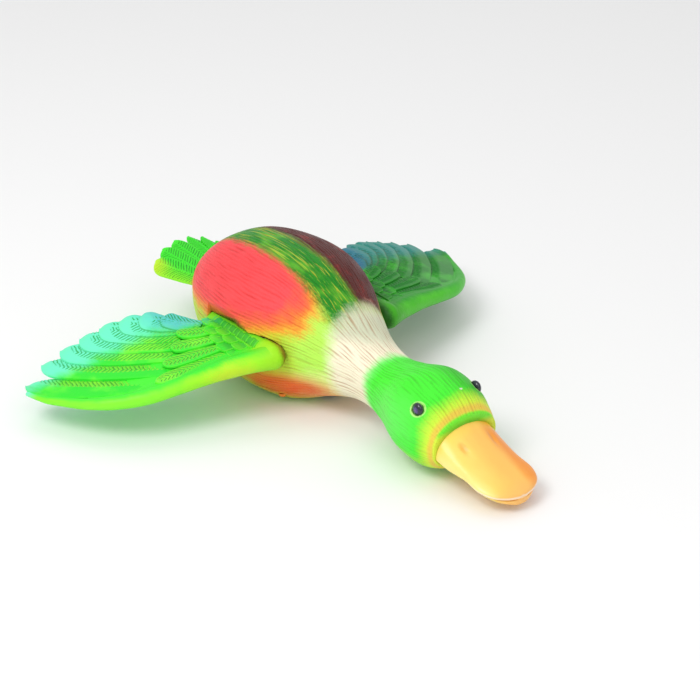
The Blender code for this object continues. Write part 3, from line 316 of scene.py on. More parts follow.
class Finish:
    """A sprayed or moulded finish: coats are laid one over the other, then bump is added."""

    def __init__(self, name, base, roughness=0.5, metallic=0.0, coat=0.0, sheen=0.0):
        self.material = bpy.data.materials.new(name)
        self.material.use_nodes = True
        self.tree = self.material.node_tree
        self.shader = self.tree.nodes["Principled BSDF"]
        self.shader.inputs["Roughness"].default_value = roughness
        self.shader.inputs["Metallic"].default_value = metallic
        self.shader.inputs["Coat Weight"].default_value = coat
        self.shader.inputs["Specular IOR Level"].default_value = 0.5 if metallic or coat else 0.22
        self.shader.inputs["Coat Roughness"].default_value = 0.25
        self.shader.inputs["Sheen Weight"].default_value = sheen
        where = self.tree.nodes.new("ShaderNodeTexCoord").outputs["Object"]
        scaled = self.vector("SCALE", where, scale=1 / MM)
        self.spot = self.vector("SUBTRACT", scaled, (0, MIDDLE_Y, 0))
        split = self.tree.nodes.new("ShaderNodeSeparateXYZ")
        self.tree.links.new(self.spot, split.inputs[0])
        self.x, self.y, self.z = split.outputs
        self.side = self.number("ABSOLUTE", self.x)
        self.colour = base
        self.height = None
        self.drift = self.cloud((0.10, 0.06, 0.10), detail=2.0)
        self.grain = self.cloud((0.9, 0.16, 0.9), detail=3.0)

    def give(self, socket, value):
        if isinstance(value, bpy.types.NodeSocket):
            self.tree.links.new(value, socket)
        elif socket.type == "RGBA":
            socket.default_value = (*value[:3], 1.0)
        else:
            socket.default_value = value

    def vector(self, operation, a, b=None, scale=None):
        node = self.tree.nodes.new("ShaderNodeVectorMath")
        node.operation = operation
        self.give(node.inputs[0], a)
        if b is not None:
            self.give(node.inputs[1], b)
        if scale is not None:
            node.inputs["Scale"].default_value = scale
        return node.outputs["Value"] if operation in ("LENGTH", "DOT_PRODUCT") else node.outputs["Vector"]

    def number(self, operation, a, b=None, clamp=False):
        node = self.tree.nodes.new("ShaderNodeMath")
        node.operation = operation
        node.use_clamp = clamp
        self.give(node.inputs[0], a)
        if b is not None:
            self.give(node.inputs[1], b)
        return node.outputs[0]

    def fade(self, value, low, high):
        """0 below low and 1 above high, or the other way round when low is above high."""
        node = self.tree.nodes.new("ShaderNodeMapRange")
        node.interpolation_type = "SMOOTHSTEP"
        self.give(node.inputs["Value"], value)
        start, end = (0.0, 1.0) if low < high else (1.0, 0.0)
        node.inputs["From Min"].default_value = min(low, high)
        node.inputs["From Max"].default_value = max(low, high)
        node.inputs["To Min"].default_value = start
        node.inputs["To Max"].default_value = end
        return node.outputs["Result"]

    def cloud(self, stretch, detail=3.0, lift=0.0):
        """Noise about 0: stretch is in waves per millimetre along x, y and z."""
        where = self.vector("MULTIPLY", self.spot, stretch)
        if lift:
            where = self.vector("ADD", where, (lift, lift, lift))
        node = self.tree.nodes.new("ShaderNodeTexNoise")
        node.inputs["Scale"].default_value = 1.0
        node.inputs["Detail"].default_value = detail
        self.give(node.inputs["Vector"], where)
        return self.number("SUBTRACT", node.outputs["Fac"], 0.5)

    def attribute(self, name):
        node = self.tree.nodes.new("ShaderNodeAttribute")
        node.attribute_name = name
        return node.outputs["Fac"]

    def rough_edge(self, value, drift=0.0, grain=0.0):
        """Wavers a value, so that a sprayed edge isn't straight."""
        if drift:
            value = self.number("ADD", value, self.number("MULTIPLY", self.drift, drift))
        if grain:
            value = self.number("ADD", value, self.number("MULTIPLY", self.grain, grain))
        return value

    def oval(self, centre, radii, soft, drift=0.4, grain=0.3):
        """1 inside an oval and 0 outside it, over a soft edge given as a part of its radius."""
        away = self.vector("SUBTRACT", self.spot, centre)
        away = self.vector("DIVIDE", away, radii)
        reach = self.rough_edge(self.vector("LENGTH", away), drift, grain)
        return self.fade(reach, 1 + soft / 2, 1 - soft / 2)

    def beyond(self, direction, start, end, drift=0.0, grain=0.0):
        """0 at start and 1 at end, counted in millimetres along a direction."""
        along = self.rough_edge(self.vector("DOT_PRODUCT", self.spot, direction), drift, grain)
        return self.fade(along, start, end)

    def both(self, a, b):
        return self.number("MULTIPLY", a, b)

    def part(self, mask, share):
        return self.number("MULTIPLY", mask, share)

    def spray(self, mask, paint):
        """Lays a coat over the colour so far."""
        node = self.tree.nodes.new("ShaderNodeMix")
        node.data_type = "RGBA"
        self.give(node.inputs[0], mask)
        self.give(node.inputs[6], self.colour)
        self.give(node.inputs[7], paint)
        self.colour = node.outputs[2]
        return self

    def shade(self, mask, factor):
        """Multiplies the colour so far by a tint where the mask is 1."""
        node = self.tree.nodes.new("ShaderNodeMix")
        node.data_type = "RGBA"
        node.blend_type = "MULTIPLY"
        self.give(node.inputs[0], mask)
        self.give(node.inputs[6], self.colour)
        self.give(node.inputs[7], factor)
        self.colour = node.outputs[2]
        return self

    def raise_by(self, value, amount):
        """Adds to the bump height, in millimetres."""
        part = self.number("MULTIPLY", value, amount)
        self.height = part if self.height is None else self.number("ADD", self.height, part)
        return self

    def done(self, wear=0.12):
        """Wires colour, roughness and bump up and returns the material."""
        rough = self.shader.inputs["Roughness"]
        base = rough.default_value
        worn = self.number("MULTIPLY", self.drift, wear)
        self.give(rough, self.number("ADD", worn, base, clamp=True))
        self.give(self.shader.inputs["Base Color"], self.colour)
        if self.height is not None:
            bump = self.tree.nodes.new("ShaderNodeBump")
            bump.inputs["Distance"].default_value = MM
            bump.inputs["Strength"].default_value = 1.0
            self.give(bump.inputs["Height"], self.height)
            self.give(self.shader.inputs["Normal"], bump.outputs["Normal"])
        return self.material


CORAL = (0.96, 0.075, 0.085)
CORAL_DEEP = (0.80, 0.03, 0.045)
ORANGE = (0.93, 0.20, 0.03)
SUNNY = (0.95, 0.42, 0.03)
LEAF_YELLOW = (0.55, 0.80, 0.04)
BREAST_LIME = (0.50, 0.92, 0.10)
BREAST_PALE = (0.86, 0.91, 0.34)
LOW_RED = (0.86, 0.13, 0.02)
CREAM = (0.93, 0.86, 0.66)
CREAM_DUSK = (0.55, 0.60, 0.42)
UMBER = (0.42, 0.20, 0.06)
SPINE_GREEN = (0.008, 0.25, 0.005)
SPINE_LIGHT = (0.16, 0.55, 0.02)
RIDGE_YELLOW = (0.62, 0.62, 0.04)
MAROON = (0.085, 0.007, 0.004)
MAROON_LIGHT = (0.22, 0.012, 0.006)
HEAD_GREEN = (0.06, 0.86, 0.03)
HEAD_SHADED = (0.03, 0.52, 0.01)
HEAD_MINT = (0.16, 0.90, 0.14)
LIP_YELLOW = (0.74, 0.88, 0.05)
LIP_ORANGE = (0.90, 0.48, 0.08)


def plumage_paint():
    """Airbrushed bird: coral flanks, green spine, cream collar and a bright green head."""
    paint = Finish("bird_paint", LEAF_YELLOW, roughness=0.42, sheen=0.05)
    groove = paint.attribute("groove")
    ridge = paint.number("SUBTRACT", 1.0, groove)
    # breast, and the warm low belly
    paint.spray(paint.beyond((0, -1, 0.2), 36, 54, drift=10, grain=5), BREAST_LIME)
    low = paint.beyond((0, -0.25, -1), -36, -12, drift=14, grain=10)
    paint.spray(paint.both(low, paint.beyond((0, -1, 0), 20, 44, drift=10)), BREAST_PALE)
    red_low = paint.both(paint.oval((0, -18, 24), (78, 44, 17), 0.9),
                         paint.beyond((0, 0, -1), -44, -24, drift=10, grain=8))
    paint.spray(red_low, LOW_RED)
    # flanks: a yellow edge, an orange edge, then coral
    for side in (-1, 1):
        paint.spray(paint.oval((side * 40, 34, 88), (40, 88, 36), 0.30, grain=0.16), SUNNY)
        paint.spray(paint.oval((side * 40, 36, 90), (39, 80, 32.5), 0.30, grain=0.16), ORANGE)
        paint.spray(paint.oval((side * 42, 40, 92), (36, 74, 30), 0.42, grain=0.12), CORAL)
    paint.spray(paint.part(paint.oval((-34, 60, 92), (24, 46, 26), 0.8), 0.25), CORAL_DEEP)
    # spine: dark green with yellow ridges, and the far side sprayed over it in maroon, partly a dark
    # overspray and partly painted shade of the side away from the light
    spine_line = paint.number("ADD", paint.x, 5.0)
    spine_reach = paint.rough_edge(paint.number("ABSOLUTE", spine_line), drift=6, grain=9)
    spine = paint.both(paint.fade(spine_reach, 19.5, 9.5),
                       paint.beyond((0, 1, 0.35), -46, -22, drift=6, grain=6))
    spine = paint.both(spine, paint.beyond((0, 0, 1), 56, 68))
    far_shaded = paint.both(paint.fade(paint.rough_edge(paint.x, 6, 6), 4, 11),
                     paint.fade(paint.rough_edge(paint.x, 8, 4), 64, 48))
    far_shaded = paint.both(far_shaded, paint.beyond((0, 1, 0), -58, -44, drift=4))
    far_shaded = paint.both(far_shaded, paint.beyond((0, 0, 1), 58, 72))
    # maroon on the far flank only: painted shade over a dark overspray
    paint.spray(far_shaded, MAROON)
    blotch = paint.fade(paint.rough_edge(paint.drift, 0, 0.6), 0.05, 0.3)
    paint.spray(paint.both(far_shaded, blotch), MAROON_LIGHT)
    # the spine stripe is green paint; its deep tone is partly painted shade of the top of the back
    paint.spray(spine, SPINE_GREEN)
    patches = paint.fade(paint.cloud((0.05, 0.03, 0.05), lift=7.0), 0.0, 0.18)
    paint.spray(paint.part(paint.both(spine, patches), 0.6), SPINE_LIGHT)
    stroke = paint.fade(paint.cloud((0.8, 0.03, 0.16), detail=2.0, lift=15.0), 0.05, 0.15)
    paint.spray(paint.part(paint.both(spine, stroke), 0.55), RIDGE_YELLOW)
    # collar, dusky on top, with umber in its lines
    collar_line = paint.vector("DOT_PRODUCT", paint.spot, (0.10, -1, 0.16))
    collar_line = paint.rough_edge(collar_line, drift=9, grain=7)
    collar = paint.both(paint.fade(collar_line, 58, 74), paint.fade(collar_line, 118, 108))
    paint.spray(collar, CREAM)
    dusk = paint.both(collar, paint.beyond((0.35, 0.2, 1), 42, 56, drift=6, grain=5))
    paint.spray(paint.part(dusk, 0.75), CREAM_DUSK)
    paint.spray(paint.part(paint.both(collar, paint.fade(groove, 0.15, 0.7)), 0.55), UMBER)
    # head
    head_line = paint.rough_edge(paint.vector("DOT_PRODUCT", paint.spot, (-0.10, -1, 0.26)), drift=7, grain=5)
    head = paint.fade(head_line, 108, 120)
    paint.spray(paint.fade(head_line, 103, 114), HEAD_MINT)
    paint.spray(head, HEAD_GREEN)
    paint.spray(paint.part(paint.both(head, paint.oval((-30, -132, 40), (14, 26, 16), 1.2)), 0.6), HEAD_MINT)
    # painted shade on the far side and top of the head
    paint.spray(paint.both(head, paint.beyond((0.9, 0, 0.45), 28, 48, drift=8)), HEAD_SHADED)
    chin = paint.both(head, paint.beyond((0, 0, -1), -24, -12, drift=6))
    paint.spray(paint.part(chin, 0.5), LEAF_YELLOW)
    # yellow round the root of the bill, with an orange line on its lip
    face = paint.beyond((0, -1, 0), 160, 172, drift=5, grain=4)
    paint.spray(paint.part(face, 0.9), LIP_YELLOW)
    lip = paint.both(paint.beyond((0, -1, 0), 169.5, 172.5, drift=2),
                     paint.beyond((0, 1, 0), -175.4, -173.6, drift=1))
    paint.spray(paint.part(lip, 0.65), LIP_ORANGE)
    brow = paint.both(paint.beyond((0, -1, 0), 173.8, 175.2), paint.beyond((0, 0, 1), 36, 42))
    paint.spray(paint.part(brow, 0.8), HEAD_GREEN)
    # a pale ring sprayed round each eye
    eye_x, eye_y, eye_z = EYE_CENTRE
    for side in (-1, 1):
        reach = paint.vector("LENGTH", paint.vector("SUBTRACT", paint.spot, (side * eye_x, eye_y, eye_z)))
        paint.spray(paint.part(paint.fade(reach, 6.2, 5.6), 0.6), (0.62, 0.94, 0.30))
    # one pale dot on the crown
    paint.spray(paint.oval((8, -161, 60.5), (1.3, 0.8, 2.0), 0.5, drift=0.2, grain=0.8), (0.86, 0.88, 0.80))
    # the cut lines are darker, partly paint lying in them and partly painted shade in the grooves; the paint
    # is thinner on the ridges
    paint.shade(paint.part(groove, 0.62), (0.62, 0.30, 0.22))
    speck = paint.fade(paint.cloud((0.55, 0.10, 0.55), detail=4.0, lift=3.0), 0.10, 0.26)
    paint.shade(paint.part(speck, 0.25), (0.55, 0.45, 0.40))
    paint.raise_by(paint.cloud((1.5, 0.09, 1.5), detail=2.0, lift=11.0), 0.55)
    paint.raise_by(paint.grain, 0.12)
    paint.raise_by(ridge, 0.05)
    return paint.done()


def wing_paint(name, far_shaded):
    """Green wing with a yellow-green leading edge and turquoise feather tips; the far one is darker: painted
    shade of the side away from the light, over some real difference in its paint.
    """
    # the far wing takes darker copies of the near wing's colours: painted shade, with some real difference in
    # paint
    if far_shaded:
        green, deep_and_shade, light = (0.010, 0.22, 0.014), (0.004, 0.08, 0.012), (0.04, 0.42, 0.02)
        blue, tip = (0.025, 0.15, 0.27), (0.03, 0.26, 0.22)
    else:
        green, deep_and_shade, light = (0.03, 0.74, 0.03), (0.01, 0.36, 0.03), (0.16, 0.90, 0.04)
        blue, tip = (0.09, 0.60, 0.55), (0.15, 0.85, 0.54)
    paint = Finish(name, green, roughness=0.40, sheen=0.05)
    barb = paint.attribute("barb")
    edge = paint.attribute("rim")
    trailing = paint.number("SUBTRACT", paint.y, paint.number("MULTIPLY", paint.side, 0.26))
    trailing = paint.rough_edge(trailing, drift=16, grain=6)
    paint.spray(paint.fade(paint.cloud((0.035, 0.035, 0.035), lift=5.0), 0.0, 0.2), light)
    paint.spray(paint.fade(trailing, 14, 34), tip)
    inner = paint.both(paint.fade(trailing, 10, 26),
                       paint.fade(paint.rough_edge(paint.side, drift=12), 112, 84))
    paint.spray(inner, blue)
    shoulder = paint.both(paint.fade(paint.side, 84, 60), paint.fade(paint.y, 34, 14))
    paint.spray(paint.part(shoulder, 0.55), (0.22, 0.62, 0.01) if not far_shaded else (0.03, 0.20, 0.01))
    # yellow in between the barbs of the middle feathers, dark in their cuts: partly paint in the cuts and
    # partly painted shade
    middle = paint.both(paint.fade(trailing, 34, 8), paint.fade(barb, 0.02, 0.25))
    paint.spray(paint.part(middle, 0.0 if far_shaded else 0.40), (0.50, 0.78, 0.03))
    paint.spray(paint.part(paint.fade(barb, 0.30, 0.75), 0.85), deep_and_shade)
    # painted shade past the edges of overlying feathers and under the scallop tips
    paint.spray(paint.part(paint.attribute("crease"), 0.8), deep_and_shade)
    # painted highlight along the rims of the feathers
    paint.spray(paint.part(edge, 0.7), light)
    root = paint.rough_edge(paint.side, drift=4, grain=5)
    root_shade = (0.01, 0.07, 0.01) if far_shaded else (0.20, 0.055, 0.012)
    paint.spray(paint.part(paint.fade(root, 56, 50), 0.85), root_shade)
    paint.raise_by(paint.cloud((0.5, 0.5, 0.5), detail=4.0, lift=2.0), 0.25)
    return paint.done()


def roll_paint(name, far_shaded):
    """Leading edge and shoulder: yellow-green in front, green where it meets the feathers."""
    # the far wing's roll takes darker colours: painted shade of the side away from the light
    paint = Finish(name, (0.34, 0.88, 0.02) if not far_shaded else (0.08, 0.55, 0.02), roughness=0.40)
    behind = paint.attribute("behind")
    green = (0.05, 0.78, 0.03) if not far_shaded else (0.02, 0.30, 0.015)
    paint.spray(paint.fade(paint.rough_edge(behind, drift=0.7, grain=0.3), -0.98, -0.10), green)
    outer = paint.fade(paint.rough_edge(paint.side, drift=14), 100, 150)
    paint.spray(paint.part(outer, 0.45), (0.10, 0.92, 0.05) if not far_shaded else (0.05, 0.50, 0.03))
    orange_hint = paint.oval((-80, -22, 44), (26, 9, 8), 1.0, grain=0.8)
    paint.spray(paint.part(orange_hint, 0.35), (0.86, 0.62, 0.04))
    knuckle = paint.fade(paint.rough_edge(paint.side, drift=6), 76, 58)
    paint.spray(paint.part(knuckle, 0.5), (0.34, 0.66, 0.01) if not far_shaded else (0.03, 0.22, 0.01))
    root = paint.rough_edge(paint.side, drift=4, grain=5)
    root_shade = (0.01, 0.07, 0.01) if far_shaded else (0.24, 0.06, 0.012)
    paint.spray(paint.part(paint.fade(root, 55, 48), 0.9), root_shade)
    last = paint.fade(paint.rough_edge(paint.y, drift=10), 62, 76)
    paint.spray(last, (0.20, 0.92, 0.55) if not far_shaded else (0.05, 0.36, 0.34))
    paint.raise_by(paint.cloud((0.22, 0.22, 0.22), detail=4.0), 0.5)
    paint.raise_by(paint.cloud((1.1, 1.1, 1.1), detail=2.0, lift=4.0), 0.08)
    return paint.done()


def tail_paint():
    """Green tail, orange at its root and yellow at one outer corner."""
    paint = Finish("tail_paint", (0.05, 0.76, 0.03), roughness=0.42)
    barb = paint.attribute("barb")
    edge = paint.attribute("rim")
    paint.spray(paint.part(paint.fade(paint.z, 56, 49), 0.6), (0.42, 0.86, 0.02))
    # painted highlight along the rims of the tail feathers
    paint.spray(paint.part(edge, 0.45), (0.24, 0.90, 0.05))
    # dark in the barb cuts: partly paint and partly painted shade
    paint.spray(paint.part(paint.fade(barb, 0.35, 0.8), 0.8), (0.01, 0.22, 0.01))
    lower = paint.both(paint.fade(paint.x, -24, -30), paint.fade(paint.y, 130, 156))
    paint.spray(paint.part(lower, 0.6), (0.72, 0.80, 0.03))
    paint.spray(paint.fade(paint.rough_edge(paint.y, drift=8, grain=5), 114, 103), (0.93, 0.20, 0.08))
    paint.raise_by(paint.cloud((0.7, 0.7, 0.7), detail=3.0), 0.2)
    return paint.done()


def bill_paint(name, lower=False):
    """Orange bill, paler along the near edge as a painted highlight, deeper along the far one as painted
    shade, satin varnished.
    """
    paint = Finish(name, (0.97, 0.52, 0.10), roughness=0.33, coat=0.25)
    # painted highlight along the near side, above and below
    paint.spray(paint.beyond((-1, 0, 0.25), 4, 30, drift=10), (0.96, 0.68, 0.13))
    paint.spray(paint.beyond((-1, 0, -0.4), 8, 20, drift=6), (0.97, 0.80, 0.26))
    # painted shade along the far side
    paint.spray(paint.beyond((1, 0, 0), 6, 17, drift=6), (0.90, 0.30, 0.02))
    paint.spray(paint.part(paint.beyond((0, 1, 0), -186, -174, drift=5), 0.45), (0.93, 0.66, 0.06))
    tip = paint.beyond((0, -1, 0), 224, 234, drift=3)
    paint.spray(paint.part(tip, 0.5), (0.97, 0.50, 0.14))
    if not lower:
        for side in (-1, 1):
            nostril = paint.oval((side * 13.4, -190, 35), (2.6, 5.6, 5), 0.8, drift=0.3)
            paint.spray(paint.part(nostril, 0.55), (0.80, 0.30, 0.02))
        pale = paint.attribute("lip")
        paint.spray(paint.part(pale, 0.8), (0.98, 0.80, 0.62))
    paint.raise_by(paint.cloud((0.10, 0.05, 0.10), detail=2.0), 0.5)
    paint.raise_by(paint.cloud((0.9, 0.5, 0.9), detail=3.0), 0.05)
    return paint.done(wear=0.2)


def eye_gloss():
    """Lacquered eye: violet middle and blue-black round it; the thin pale rim is sprayed on the body round
    the eye.
    """
    paint = Finish("eye_gloss", (0.006, 0.008, 0.02), roughness=0.16, coat=0.6)
    _, y, z = EYE_CENTRE
    flat = paint.vector("MULTIPLY", paint.vector("SUBTRACT", paint.spot, (0, y, z)), (0, 1, 1))
    reach = paint.vector("LENGTH", flat)
    paint.spray(paint.fade(paint.rough_edge(reach, drift=0.6), 2.9, 1.9), (0.05, 0.02, 0.16))
    paint.spray(paint.part(paint.fade(reach, 1.7, 0.6), 0.7), (0.14, 0.05, 0.22))
    paint.raise_by(paint.cloud((0.5, 0.5, 0.5), detail=2.0), 0.1)
    return paint.done(wear=0.06)


def moulded(name, colour, tint, roughness=0.45, metallic=0.0, stretch=(0.5, 0.5, 0.5), rough_bump=0.08,
            coat=0.0):
    """Plain hardware finish: a cloudy tint, small specks and a fine surface."""
    made = Finish(name, colour, roughness=roughness, metallic=metallic, coat=coat)
    made.spray(made.part(made.fade(made.cloud((0.08, 0.08, 0.08), lift=1.0), -0.1, 0.2), 0.6), tint)
    specks = made.fade(made.cloud(stretch, detail=4.0, lift=9.0), 0.05, 0.25)
    made.shade(made.part(specks, 0.35), (0.6, 0.6, 0.6))
    made.raise_by(made.cloud(stretch, detail=4.0), rough_bump)
    return made.done(wear=0.25)


# ---------------------------------------------------------------- plumage over the body

OUTLINE = smooth_rows(BODY_SECTIONS, 24)
OUTLINE_Y = [-row[0] for row in OUTLINE]
FORM_SINK = 0.2       # the painted form lies this far inside the moulded body
SWELL = 1.0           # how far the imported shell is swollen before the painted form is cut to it
LINES_ON_BODY = 118
LINES_ON_NECK = 66
LINE_DEPTH = 0.6
ON_SKIN = 0.955       # from this reading outwards a corner belongs to the outer skin


def section_at(y):
    """Cross-section of the smooth body at y."""
    i = min(max(bisect_left(OUTLINE_Y, -y), 1), len(OUTLINE) - 1)
    a, b = OUTLINE[i - 1], OUTLINE[i]
    t = min(max((a[0] - y) / max(a[0] - b[0], 1e-6), 0.0), 1.0)
    return [p + (q - p) * t for p, q in zip(a, b)]


def skin_point(row, angle):
    """A place on the painted form, just inside the moulded skin."""
    y, middle, half_width, rise, drop = row
    upper = math.sin(angle) >= 0
    fullness = BACK_FULLNESS if upper else BELLY_FULLNESS
    reach = (rise if upper else drop) - FORM_SINK
    return place((half_width - FORM_SINK) * power(math.cos(angle), fullness), y,
                 middle + reach * power(math.sin(angle), fullness))


def skin_reading(co):
    """How far out a place lies (1 on the skin), its angle round the body and the outward direction."""
    x, y, z = spot_of(co)
    _, middle, half_width, rise, drop = section_at(y)
    upper = z >= middle
    fullness = BACK_FULLNESS if upper else BELLY_FULLNESS
    reach = rise if upper else drop
    across, height = x / half_width, (z - middle) / reach
    out = abs(across) ** fullness + abs(height) ** fullness
    angle = math.atan2(power(height, 4 / fullness), power(across, 4 / fullness))
    away = Vector((math.copysign(abs(across) ** (fullness - 1) / half_width, across), 0,
                   math.copysign(abs(height) ** (fullness - 1) / reach, height)))
    return out, angle, away.normalized() if away.length else Vector((0, 0, 1))


def hair_line(y, angle, count, seed):
    """Cut of the hair lines, 0 on a ridge and 1 in a groove, broken into strokes."""
    wander = 0.55 * noise.noise(Vector((angle * 2.5, y * 0.035, seed)))
    wander += 0.22 * noise.noise(Vector((angle * 9, y * 0.08, seed + 5)))
    turn = count * angle / TURN + wander * 1.6
    stroke = 0.5 + 0.9 * noise.noise(Vector((math.floor(turn + 0.5) * 1.37, y * 0.075, seed + 9)))
    cut = (0.5 + 0.5 * math.cos(TURN * turn)) ** 2
    return cut * min(max(stroke, 0.12), 1.0)


def engraved(y, angle, half_width):
    """Depth share of the feather lines, fewer on the neck and fainter on the crown."""
    neck = ease(-34, -66, y)
    depth = hair_line(y, angle, LINES_ON_BODY, 1.0) * (1 - neck) if neck < 1 else 0.0
    if neck > 0:
        depth += 0.8 * hair_line(y, angle, LINES_ON_NECK, 4.0) * neck
    crown = ease(-108, -128, y) * ease(0.2, 0.9, abs(math.cos(angle)))
    return depth * ease(5, 26, half_width) * (1 - 0.55 * crown)


def plumage_form(steps, around):
    """Smooth closed form of the whole body."""
    rows = smooth_rows(BODY_SECTIONS, steps)
    rows[0][0] -= FORM_SINK
    rows[-1][0] += FORM_SINK
    first = place(0, rows[0][0], rows[0][1])
    last = place(0, rows[-1][0], rows[-1][1])
    return wrapped(around, len(rows), lambda ring, angle: skin_point(rows[ring], angle), first, last)


def swollen(node):
    """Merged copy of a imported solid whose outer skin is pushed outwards, with its openings kept."""
    bm = bmesh.new()
    bm.from_mesh(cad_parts[node].data)
    bmesh.ops.remove_doubles(bm, verts=bm.verts[:], dist=WELD)
    for vert in bm.verts:
        out, _, away = skin_reading(vert.co)
        if out < ON_SKIN or vert.co.z < 0.3 * MM:
            continue
        if min(abs(vert.co.z / MM - z) for z in PARTING_Z) < 0.05:
            away = Vector((math.copysign(1.0, vert.co.x), 0, 0))
        vert.co += away * SWELL * MM
        vert.co.z = max(vert.co.z, 0.0)
    return bm


def engrave(bm):
    """Cuts the feather lines into the outer skin and keeps their depth as an attribute."""
    layer = bm.verts.layers.float.new("groove")
    for vert in bm.verts:
        out, angle, away = skin_reading(vert.co)
        if out < ON_SKIN:
            continue
        _, y, z = spot_of(vert.co)
        half_width = section_at(y)[2]
        cut = engraved(y, angle, half_width) * ease(0.2, 3.0, z)
        vert[layer] = cut
        vert.co -= away * LINE_DEPTH * cut * MM


def painted_body():
    """The upper shell with its feather lines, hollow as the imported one."""
    bm = carve(plumage_form(8, 620), "INTERSECT", swollen("body_shell"))
    engrave(bm)
    return piece_from(bm, "painted_body", plumage_paint(), "root", ("body_shell",), sharp=62,
                      recalculate=False)


def painted_belly(finish):
    """The underside, cut from the same form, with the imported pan's openings."""
    form = plumage_form(5, 360)
    cut = bmesh.ops.bisect_plane(form, geom=form.verts[:] + form.edges[:] + form.faces[:], dist=WELD,
                                 plane_co=place(0, 0, 20), plane_no=(0, 0, 1), clear_outer=True)
    rim = [item for item in cut["geom_cut"] if isinstance(item, bmesh.types.BMEdge)]
    bmesh.ops.holes_fill(form, edges=rim, sides=0)
    bm = carve(form, "INTERSECT", swollen("belly_pan"))
    engrave(bm)
    return piece_from(bm, "painted_belly", finish, "root", ("belly_pan",), sharp=62,
                      recalculate=False)


# ---------------------------------------------------------------- feathers

def feather(bm, root, tip, width, thick, height, tilt=0.0, bend=0.0, narrow=0.7, along=120, across=18,
            pitch=2.6, band=(-0.9, 1.0), cut_depth=0.5, rim_rise=0.0, crown=1.0, over=None,
            shaded_root=0.0):
    """One blade with a shaft line, slanting barb cuts and a round tip."""
    barb = bm.verts.layers.float.get("barb") or bm.verts.layers.float.new("barb")
    rim = bm.verts.layers.float.get("rim") or bm.verts.layers.float.new("rim")
    crease = bm.verts.layers.float.get("crease") or bm.verts.layers.float.new("crease")
    edge_line = covering_edge(over, width, bend, narrow) if over else []
    run = Vector((tip[0] - root[0], tip[1] - root[1]))
    length = run.length
    side = Vector((run.y, -run.x)).normalized()
    grid = bmesh.ops.create_grid(bm, x_segments=along, y_segments=across, size=1)
    top = grid["verts"]
    faces = list({face for vert in top for face in vert.link_faces})
    grown = bmesh.ops.extrude_face_region(bm, geom=faces)
    under = [item for item in grown["geom"] if isinstance(item, bmesh.types.BMVert)]
    for verts, lower in ((top, False), (under, True)):
        for vert in verts:
            q, u = (vert.co.x + 1) / 2, vert.co.y
            round_share = max(q - 0.75, 0) / 0.25
            s = q / 0.75 * 0.8 if q < 0.75 else 0.8 + 0.2 * math.sin(math.pi / 2 * round_share)
            end = max(math.cos(math.pi / 2 * round_share), 0.02)
            half = width / 2 * (narrow + (1 - narrow) * min(s / 0.5, 1)) * end
            centre = Vector(root) + run * s + side * bend * 4 * s * (1 - s)
            x, y = centre + side * half * u
            body = thick / 2 * (0.6 + 0.4 * end)
            if lower:
                rise = -body * (0.45 + 0.55 * math.sqrt(max(1 - u * u, 0)))
            else:
                slant = (s * length - 0.85 * abs(u) * half) / pitch
                ripple = 0.25 * noise.noise(Vector((s * length * 0.3, u * 3, root[0])))
                cut = (0.5 + 0.5 * math.cos(TURN * (slant + ripple))) ** 1.5
                share = ease(band[0] - 0.25, band[0] + 0.1, u) * ease(band[1] + 0.3, band[1] - 0.1, u)
                share *= ease(0.0, 0.08, abs(u)) * ease(0.0, 0.1, 1 - abs(u)) * ease(1.0, 0.93, s)
                # painted shade: a scallop is darker near its root, under the tips of its neighbours
                dark = shaded_root * ease(0.85, 0.45, s)
                if edge_line:
                    gap = past_edge(edge_line, x, y)
                    share = ease(0.3, 1.4, gap) * ease(8.5, 5.0, gap) * ease(1.0, 0.95, s)
                    # painted shade just past the edge of the feather that lies on this one
                    dark = ease(1.6, 0.3, gap) * ease(-1.5, 0.0, gap)
                shaft = math.exp(-(u / 0.07) ** 2) * ease(1.0, 0.8, s)
                lip = max(ease(0.74, 0.95, abs(u)), ease(0.9, 0.985, s))
                rise = body * (0.45 + 0.55 * crown * math.sqrt(max(1 - u * u, 0)))
                rise += 0.3 * shaft - cut_depth * cut * share + rim_rise * lip
                vert[barb] = cut * share
                vert[crease] = dark
                # the rim value also carries a painted highlight along the feather's edge and tip
                vert[rim] = lip * min(rim_rise * 2 + 0.1, 1.0)
            vert.co = place(x, y, height(x, y, s) + tilt * u + rise)


def covering_edge(over, width, bend, narrow):
    """Outer edge of the feather that lies on this one, as places and outward directions."""
    root, tip = Vector(over[:2]), Vector(over[2:])
    run = tip - root
    side = Vector((run.y, -run.x)).normalized()
    line = []
    for k in range(41):
        s = k / 40
        end = math.sqrt(max(1 - (max(s - 0.8, 0) / 0.2) ** 2, 0.0))
        half = width / 2 * (narrow + (1 - narrow) * min(s / 0.5, 1)) * end
        line.append((root + run * s + side * (bend * 4 * s * (1 - s) + half), side))
    return line


def past_edge(line, x, y):
    """Distance of a place beyond an edge line, negative under the feather."""
    here = Vector((x, y))
    near, side = min(line, key=lambda item: (item[0] - here).length_squared)
    away = here - near
    return math.copysign(away.length, away.dot(side))


def wing_height(x, y):
    """Height of the middle of the wing."""
    lead_z, lead_y, slope = interpolate(WING_RIBS, x)
    return lead_z + slope * max(y - lead_y, 0)


def arm_rear(t, x):
    """Rear end of the plate's rib at x, for t from shoulder to tip."""
    rear_x = x * (1 - t) + (170 - 8 * (1 - t)) * t - 6 * math.sin(math.pi * t)
    return max(rear_x, PLATE_ROOT_X), 43 - 30 * t ** 1.3 + 24 * t ** 4


def arm_thickness(radius, f):
    """Half thickness of the plate, for f from its front to its rear."""
    front, middle, rear = max(radius * 0.8, 2.8), 1.9, 0.3
    if f < 0.45:
        return front + (middle - front) * ease(0, 0.45, f)
    return middle + (rear - middle) * ease(0.45, 1.0, f)


